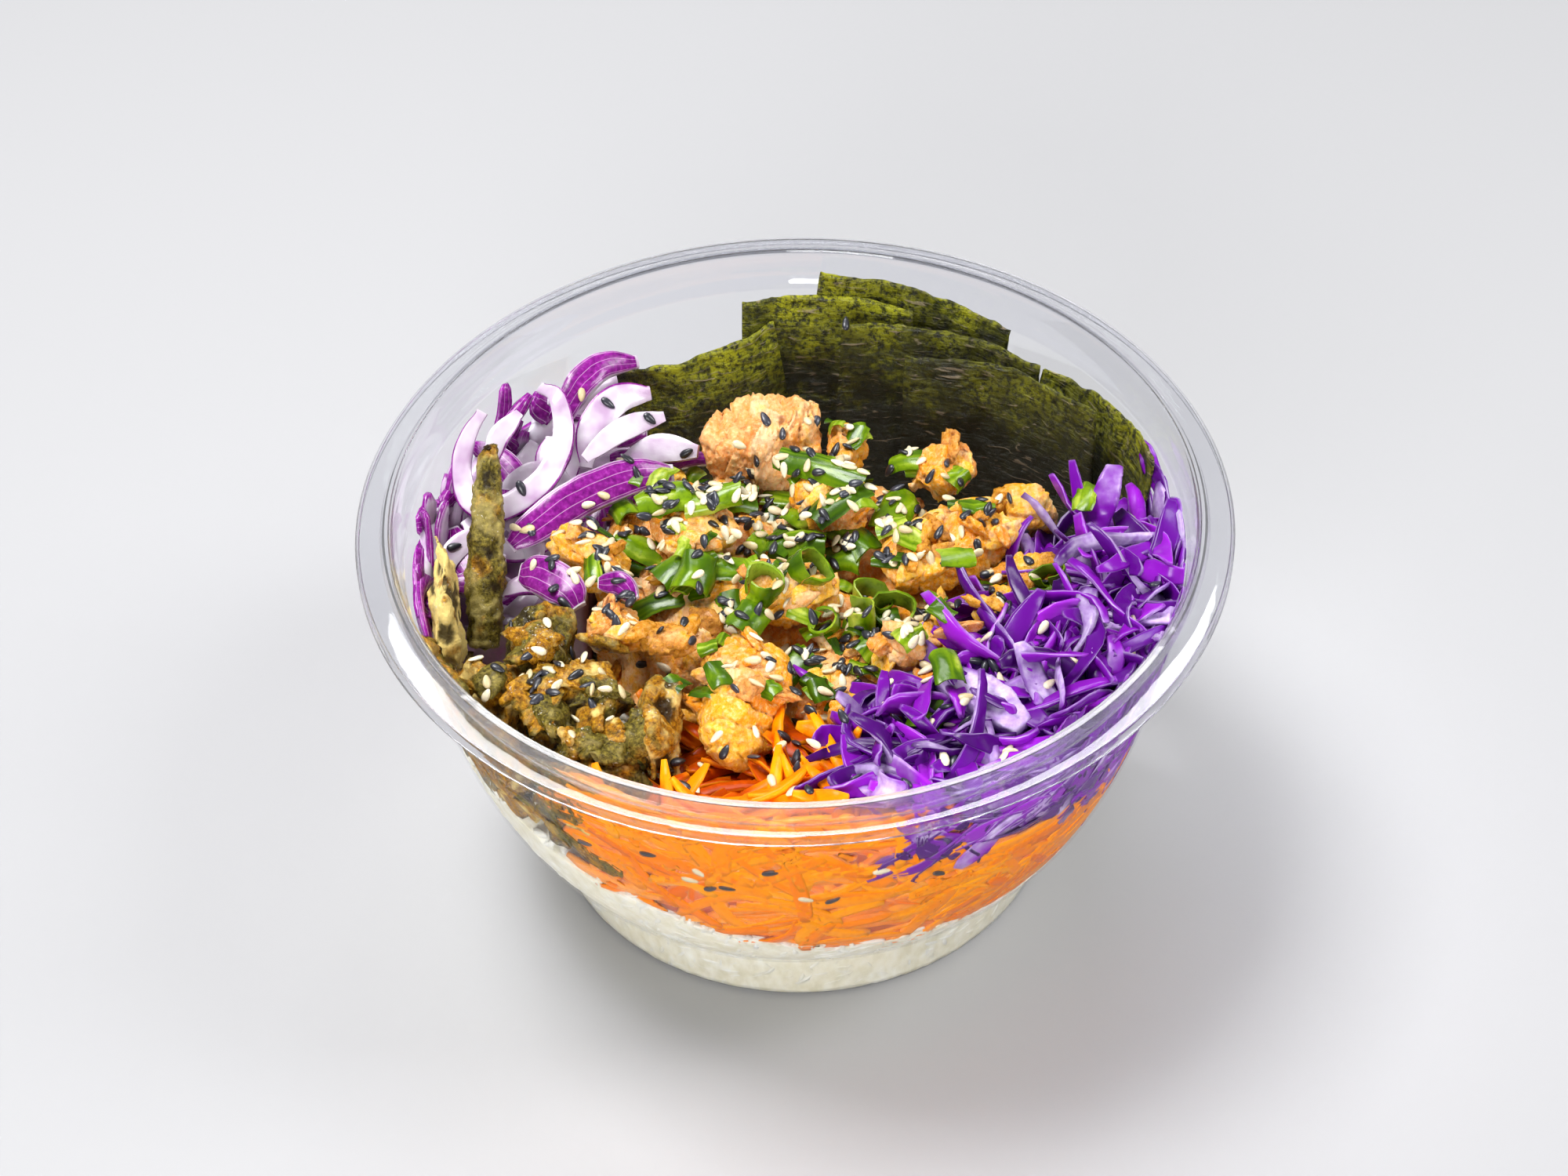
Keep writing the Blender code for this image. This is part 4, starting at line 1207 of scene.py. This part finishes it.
def skin_share(a, b, skin_at):
    """How much skin shows at a point of a slice's cut, from its shares of the width and thickness."""
    if skin_at == "none":
        return 0.0
    if skin_at == "face":
        return (1.0 if b > 0.3 and abs(a) < 0.49 else 0.5) if b > 0 else 0.0
    rim = a if skin_at == "left" else -a
    return 1.0 if rim > 0.45 else (0.25 if rim > 0.3 else 0.0)


def onion_slice(path, width, thick, skin_at, facing=ONION_FACING):
    """One slice: points, faces, how much of each point is skin, and where it lies across the slice."""
    places, ways = curve_through(path, 8)
    steps = len(places)
    share = np.linspace(0, 1, steps)
    slim = (0.25 + 0.75 * np.sin(np.pi * np.clip(share, 0.03, 0.97)) ** 0.6)[:, None]
    side = unit(np.cross(ways, facing))
    face = unit(np.cross(side, ways))
    spread = np.linspace(-0.5, 0.5, 9)
    section = [(a, 0.5 - 0.10 * (abs(a) > 0.4)) for a in spread] + [(0.5, 0.15), (0.5, -0.15)]
    section += [(a, -0.5 + 0.10 * (abs(a) > 0.4)) for a in spread[::-1]] + [(-0.5, -0.15), (-0.5, 0.15)]
    m = len(section)
    hump = 0.16 if skin_at == "face" else 0.05
    points, skins, lines = [], [], []
    for a, b in section:
        up = b * thick + hump * width * (0.25 - a * a)
        points.append(places + side * (a * width * slim) + face * (up * slim))
        skins.append(np.full(steps, skin_share(a, b, skin_at)))
        lines.append(np.full(steps, a))
    skins = np.stack(skins, 1)
    skins[0] = skins[-1] = 0.0
    faces = []
    for i in range(0, (steps - 1) * m, m):
        for j in range(m):
            k = (j + 1) % m
            faces.append((i + j, i + k, i + m + k, i + m + j))
    faces += [tuple(reversed(range(m))), tuple((steps - 1) * m + j for j in range(m))]
    return np.stack(points, 1).reshape(-1, 3), faces, skins.reshape(-1), np.stack(lines, 1).reshape(-1)


def build_onion():
    look = onion_look()
    points, faces = grown("onion", CORE_GRID)
    press_to_wall(points, -0.1)
    points[:, 2] -= ramp_between(normals_of(points, faces)[:, 2], 0.2, 0.7) * 1.5
    # Painted shade: the core is given a darker purple, half skin, so that it reads as shade between the slices.
    values = {"skin": np.full(len(points), 0.55), "line": np.full(len(points), 0.07)}
    food("onion_core", points, faces, values, look, "onion")
    for node, facts in ONION_SLICES.items():
        points, faces, skin, line = onion_slice(*facts)
        points += sum(box_of(node)) / 2 - (points.min(0) + points.max(0)) / 2
        points += 0.35 * shifts(points, 5.0)
        keep_inside(points)
        values = {"skin": skin, "line": line}
        food(node + "_slice", points, faces, values, look, node, sharp=60, turned=True)
    rng = dice(51)
    pile = Pile()
    for _ in range(ONION_ON_TOP):
        x, y, _ = polar(rng.uniform(124, 180), math.sqrt(rng.uniform(42**2, 77**2)))
        z, _ = ground.under(x, y)
        if z is None:
            continue
        radius, turn, sweep = rng.uniform(9, 20), rng.uniform(0, FULL_TURN), rng.uniform(0.9, 1.8)
        bends = turn + np.linspace(-sweep / 2, sweep / 2, 4)
        path = radius * np.stack([np.cos(bends), np.sin(bends) * 0.8, 0.35 * np.sin(bends)], 1)
        path += np.array([x, y, min(z, rng.uniform(66, 73))]) - path.mean(0)
        facing = unit(np.array([rng.normal(0, 0.3), -0.5, 0.8]))
        kind = SKIN_PLACES[rng.integers(4)]
        slice_made = onion_slice(path, rng.uniform(3.5, 6.5), rng.uniform(1.8, 3.0), kind, facing)
        pile.add(*slice_made[:2], skin=slice_made[2], line=slice_made[3])
    points, faces, values = pile.whole()
    food("onion_shreds", keep_inside(points), faces, values, look, sharp=60, turned=True)
    sizes = ((16, 38), (3.5, 7.5), (1.2, 2.4))
    wall = wall_strips(rng, ONION_AT_WALL, (124, 183), above_rice, 74, *sizes, 11, 2.6)
    points, faces, edge, owner, count = join((crinkle(rng, wall, 0.3, (0.5, 1.5)), 0.25))
    keep_inside(points, into=0.1)
    kinds = rng.random(count)[owner]
    skin = np.where(kinds < 0.4, 1.0, np.clip(edge * (kinds < 0.8), 0, 1))
    line = np.tile([a for a, _ in AROUND], len(points) // len(AROUND))
    mesh = mesh_from("onion_by_wall_shreds", points, faces, {"skin": skin, "line": line})
    piece("onion_by_wall_shreds", mesh, look)


# --- Spring onion ---

# Spring onion that shows well: place x and y, heading, radius, arc, length, bend, tone
GREENS = [
    *((16, 41, 100, 4.8, 90, 15, 0.8, 0.35), (19, 34, 60, 4.0, 120, 11, 0.5, 0.55)),
    *((-28, 14, 15, 4.0, 200, 12, 0.3, 0.55), (-33, 9, -20, 4.2, 160, 11, 0.4, 0.6)),
    *((-17, 13, 5, 3.2, 355, 12, 0.1, 0.6), (-12, 2, -38, 3.0, 150, 16, 0.3, 0.9)),
    *((-24, -1, 30, 4.2, 150, 13, 0.5, 0.4), (-27, -7, 12, 3.8, 120, 15, 0.3, 0.3)),
    *((-21, -6, 75, 4.0, 210, 9, 0.2, 0.5), (6, 20, -32, 3.6, 130, 21, 0.25, 0.4)),
    *((2, 24, -22, 3.0, 140, 18, 0.3, 0.5), (9, 12, 40, 4.5, 140, 15, 0.4, 0.35)),
    *((12, 8, -55, 5.0, 100, 14, 0.5, 0.3), (22, 17, 70, 4.2, 150, 13, 0.4, 0.55)),
    *((21, 7, 5, 3.4, 180, 7, 0.0, 0.75), (-7, -15, 20, 4.4, 330, 5, 0.1, 0.6)),
    *((3, -12, 80, 4.8, 355, 4, 0.0, 0.55), (16, -9, 35, 5.6, 350, 4.5, 0.1, 0.6)),
    *((20, -14, 110, 5.0, 300, 5, 0.1, 0.5), (14, -17, 0, 4.4, 250, 6, 0.2, 0.6)),
    *((38, 19, -50, 4.5, 110, 14, 0.6, 0.5), (42, 24, -62, 4.0, 80, 15, 0.5, 0.45)),
    *((32, 18, 20, 3.5, 200, 8, 0.2, 0.45), (43, -3, 35, 4.5, 120, 12, 0.5, 0.4)),
    *((53, -14, 80, 4.0, 340, 5, 0.1, 0.45), (50, -18, 20, 3.6, 120, 9, 0.3, 0.4)),
    *((27, -50, 62, 3.9, 200, 13, 0.3, 0.3), (30, -46, 100, 3.4, 160, 9, 0.4, 0.5)),
    *((73, 2, -25, 3.2, 120, 9, 0.5, 0.65), (62, 6, 70, 3.0, 110, 8, 0.5, 0.5)),
    *((-12, 27, 55, 3.6, 120, 10, 0.6, 0.5), (-14, 22, -10, 4.0, 150, 12, 0.4, 0.4)),
    *((-16, -1, 0, 4.0, 170, 10, 0.3, 0.5), (-24, 19, 25, 3.6, 190, 9, 0.2, 0.6)),
    *((-3, 8, 60, 3.8, 160, 11, 0.4, 0.3), (10, 3, -20, 3.6, 170, 9, 0.2, 0.45)),
    *((27, 12, -30, 3.8, 150, 11, 0.4, 0.5), (-13, -12, 100, 3.6, 180, 8, 0.2, 0.4)),
    *((6, -20, -40, 3.4, 300, 5, 0.1, 0.5), (-24, 24, 70, 3.4, 140, 7, 0.2, 0.5)),
    *((-35, -7, 90, 3.2, 300, 4, 0.0, 0.45), (0, -29, 30, 3.6, 200, 7, 0.2, 0.5)),
    *((28, 30, -15, 4.0, 120, 13, 0.4, 0.5), (0, 4, -15, 4.2, 140, 13, 0.4, 0.45)),
    (-10, -23, 60, 3.6, 180, 8, 0.3, 0.5),
]
# The ranges of the small bits: heading in radians, radius, arc, length, bend, tone
BIT_RANGES = ((0, FULL_TURN), (1.8, 3.4), (60, 200), (3, 8), (0, 0.6), (0.1, 0.8))
LEAF_SIDES = 14
LEAF_STEPS = 6
LEAF_WALL = 0.55


def tube_part(radius, arc, length, bend, squash):
    """Part of a hollow leaf: an arc of a tube that runs along X and bends as it goes."""
    steps, around = LEAF_STEPS, LEAF_SIDES
    turn = np.radians(np.linspace(-arc / 2, arc / 2, around))
    run = np.linspace(-0.5, 0.5, steps)
    layers = []
    for r in (radius, radius - LEAF_WALL):
        x = run[:, None] * length + 0 * turn
        y = r * np.sin(turn)[None, :] + 0 * run[:, None]
        z = r * squash * np.cos(turn)[None, :] + 0 * run[:, None]
        if bend:
            angle = bend * run[:, None]
            reach = length / bend
            x, z = (reach + z) * np.sin(angle), (reach + z) * np.cos(angle) - reach
        layers.append(np.stack([x, y, z], -1).reshape(-1, 3))
    n = steps * around
    faces = []
    for i in range(steps - 1):
        for j in range(around - 1):
            a = i * around + j
            b, c, d = a + 1, a + around + 1, a + around
            faces += [(a, d, c, b), (n + a, n + b, n + c, n + d)]
    # The edges between the two layers: first the long ones, then the cut ends
    rims = [(i * around + j, around, j == 0) for i in range(steps - 1) for j in (0, around - 1)]
    rims += [(i * around + j, 1, i > 0) for j in range(around - 1) for i in (0, steps - 1)]
    for a, step, flip in rims:
        quad = (a, n + a, n + a + step, a + step)
        faces.append(quad if flip else quad[::-1])
    return np.vstack(layers), faces, np.concatenate([np.zeros(n), np.ones(n)])


def build_greens():
    look = green_look()
    rng = dice(61)
    wanted = [(x, y, math.radians(heading), *rest) for x, y, heading, *rest in GREENS]
    for _ in range(SPRING_ONION_BITS):
        wanted.append((*within(46)(rng), *(rng.uniform(*limits) for limits in BIT_RANGES)))
    pile = Pile()
    for x, y, heading, radius, arc, length, bend, tone in wanted:
        z, facing = ground.under(x, y)
        if z is None:
            continue
        squash = rng.uniform(0.55, 0.95) if arc > 200 else rng.uniform(0.5, 0.8)
        points, faces, inside = tube_part(radius, arc, length, bend, squash)
        up = unit(np.array(facing) * 0.6 + np.array([0, 0, 1.0]) + rng.normal(0, 0.22, 3))
        forward = np.array([math.cos(heading), math.sin(heading), rng.normal(0, 0.18)])
        sink = 0.7
        if arc > 240 and length < 7:  # a ring, which lies with its hole up
            forward, up, sink = up + rng.normal(0, 0.25, 3), forward, 0.9
        points = points * (1 + 0.06 * rough(points + pile.total, 3.0, 2))[:, None]
        points = points @ turns_from(forward, up).T
        points += np.array([x, y, 0]) - points.mean(0) * FLAT
        points[:, 2] += z - points[:, 2].min() - sink
        veins = np.tile(rng.normal(0, 0.10, LEAF_SIDES), len(points) // LEAF_SIDES)
        points += 1.1 * shifts(points, 3.6)
        tones = np.clip(tone + veins + 0.4 * rough(points, 4.5, 2), 0, 1)
        pile.add(points, faces, tone=tones, edge=inside * 0.7)
    points, faces, values = pile.whole()
    food("spring_onion", keep_inside(points), faces, values, look, sharp=55)


# --- Sesame ---

# Where the seeds lie thickest: place x and y, spread, white seeds, black seeds
SEED_CLUSTERS = [
    *((-22, 22, 6.5, 14, 34), (-18, 16, 7, 16, 12), (0, 12, 14, 34, 24), (8, 20, 12, 26, 20)),
    *((16, -6, 14, 36, 26), (2, -20, 13, 36, 34), (26, -26, 10, 26, 24), (-38, -14, 6, 10, 16)),
    *((-40, 6, 7, 12, 10), (-52, -34, 7, 16, 16), (36, -52, 12, 12, 10), (58, -30, 14, 12, 6)),
    *((-8, -56, 12, 8, 12), (34, 10, 12, 10, 12), (12, 36, 14, 12, 10), (-56, 16, 14, 6, 7)),
    (0, 0, 34, 30, 26),
]
SEED_SHARE = 1.35  # how many seeds are made for each one in the table
SEED_REACH = 79
SEED_HEIGHTS = (58, 88)
# Seeds that lie between the carrot and the wall: angle and height
WALL_SEEDS = {
    "sesame_white": ((253, 62), (254.5, 65.5), (270, 58), (281, 66)),
    "sesame_black": ((274, 57), (265, 68), (256, 60), (258.5, 61), (247, 68), (236, 63), (290, 60)),
}
# Seeds: name, column in the table, dark and light colour, coat, subsurface and size
SEED_KINDS = (
    ("sesame_white", 3, (0.62, 0.50, 0.27), (0.86, 0.79, 0.58), 0.1, 0.1, 1.0),
    ("sesame_black", 4, (0.006, 0.006, 0.009), (0.028, 0.030, 0.045), 0.35, 0.0, 1.02),
)


def build_seeds():
    rng = dice(71)
    seed, faces = oval(SEED, around=7, rings=6, taper=0.45)
    for name, column, low, high, coat, subsurface, size in SEED_KINDS:
        places, turns = [], []
        for cluster in SEED_CLUSTERS:
            spread = cluster[2]
            for _ in range(round(cluster[column] * SEED_SHARE)):
                x, y = rng.normal(cluster[0], spread), rng.normal(cluster[1], spread)
                if math.hypot(x, y) > SEED_REACH:
                    continue
                z, facing = ground.under(x, y)
                if z is None or z < SEED_HEIGHTS[0] or z > SEED_HEIGHTS[1] or facing[2] < 0.3:
                    continue
                up = unit(np.array(facing) + rng.normal(0, 0.25, 3))
                lean = rng.uniform(0, 2 * math.pi)
                forward = np.array([math.cos(lean), math.sin(lean), 0.0])
                places.append(np.array([x, y, z]) + up * 0.32)
                turns.append(turns_from(forward - up * (forward @ up), up))
        for angle, height in WALL_SEEDS[name]:
            out = polar(angle, 1.0)
            places.append(polar(angle, float(inner(height)) + 0.1, height))
            turns.append(turns_from(np.array([-out[1], out[0], rng.normal(0, 0.5)]), out))
        sizes = rng.uniform(0.88, 1.1, (len(places), 3)) * size
        points, many = copies(seed, faces, np.array(places), np.array(turns), sizes)
        keep_inside(points)
        tone = np.repeat(rng.random(len(places)), len(seed))
        look = seed_look(name, low, high, coat, subsurface)
        piece(name, mesh_from(name, points, many, {"tone": tone}), look)


# --- Studio, in metres ---

LAMP_AIM = (0, 0, 0.07)
# Lamps: name, place, size and power
LAMPS = (
    ("key", (-0.35, 0.15, 1.0), (0.4, 0.4), 12.0),
    ("right", (0.75, -0.05, 0.75), (0.3, 0.5), 6.0),
    ("front", (-0.25, -0.95, 0.45), (0.5, 0.3), 8.0),
    ("back", (-0.05, 0.75, 1.02), (0.8, 0.16), 5.0),
)
FLOOR_SIZE = 3.0
FLOOR_GREY = (0.42, 0.42, 0.43, 1)
SKY = (0.86, 0.88, 0.92, 1)
SKY_STRENGTH = 0.2
CAMERA_AIM = (-0.002618, 0, 0.069572)
CAMERA_DISTANCE = 0.80836
CAMERA_ELEVATION = math.radians(44.036)
CAMERA_ROLL = math.radians(-1.6355)
CAMERA_LENS, CAMERA_SENSOR = 86.4, 36


def build_studio():
    world = bpy.data.worlds.new("studio")
    bpy.context.scene.world = world
    world.use_nodes = True
    background = world.node_tree.nodes["Background"]
    background.inputs["Color"].default_value = SKY
    background.inputs["Strength"].default_value = SKY_STRENGTH
    bm = bmesh.new()
    bmesh.ops.create_grid(bm, x_segments=1, y_segments=1, size=FLOOR_SIZE)
    mesh = bpy.data.meshes.new("floor")
    bm.to_mesh(mesh)
    bm.free()
    floor = bpy.data.objects.new("floor", mesh)
    bpy.context.collection.objects.link(floor)
    look = Look("floor", roughness=0.6, specular=0.2)
    look.set("Base Color", FLOOR_GREY)
    mesh.materials.append(look.material)
    for name, place, size, power in LAMPS:
        light = bpy.data.lights.new(name, "AREA")
        light.shape = "RECTANGLE"
        light.size, light.size_y = size
        light.energy = power
        lamp = bpy.data.objects.new(name, light)
        lamp.location = place
        lamp.rotation_euler = (Vector(LAMP_AIM) - Vector(place)).to_track_quat("-Z", "Y").to_euler()
        bpy.context.collection.objects.link(lamp)


def build_camera():
    """The camera's place, aim and slight roll."""
    camera = bpy.data.cameras.new("camera")
    camera.lens = CAMERA_LENS
    camera.sensor_width = CAMERA_SENSOR
    camera.clip_start = 0.01
    made = bpy.data.objects.new("camera", camera)
    back = Vector((0, -math.cos(CAMERA_ELEVATION), math.sin(CAMERA_ELEVATION)))
    right = Vector((1, 0, 0))
    up = right.cross(-back)
    c, s = math.cos(CAMERA_ROLL), math.sin(CAMERA_ROLL)
    matrix = Matrix((right * c + up * s, up * c - right * s, back)).transposed().to_4x4()
    matrix.translation = Vector(CAMERA_AIM) + back * CAMERA_DISTANCE
    made.matrix_world = matrix
    bpy.context.collection.objects.link(made)
    bpy.context.scene.camera = made


build_camera()
build_studio()
bpy.context.scene.view_settings.view_transform = "Standard"
build_bowl()
build_rice()
build_carrot()
build_cabbage()
build_salmon()
build_crisp()
build_nori()
build_onion()
build_greens()
build_seeds()
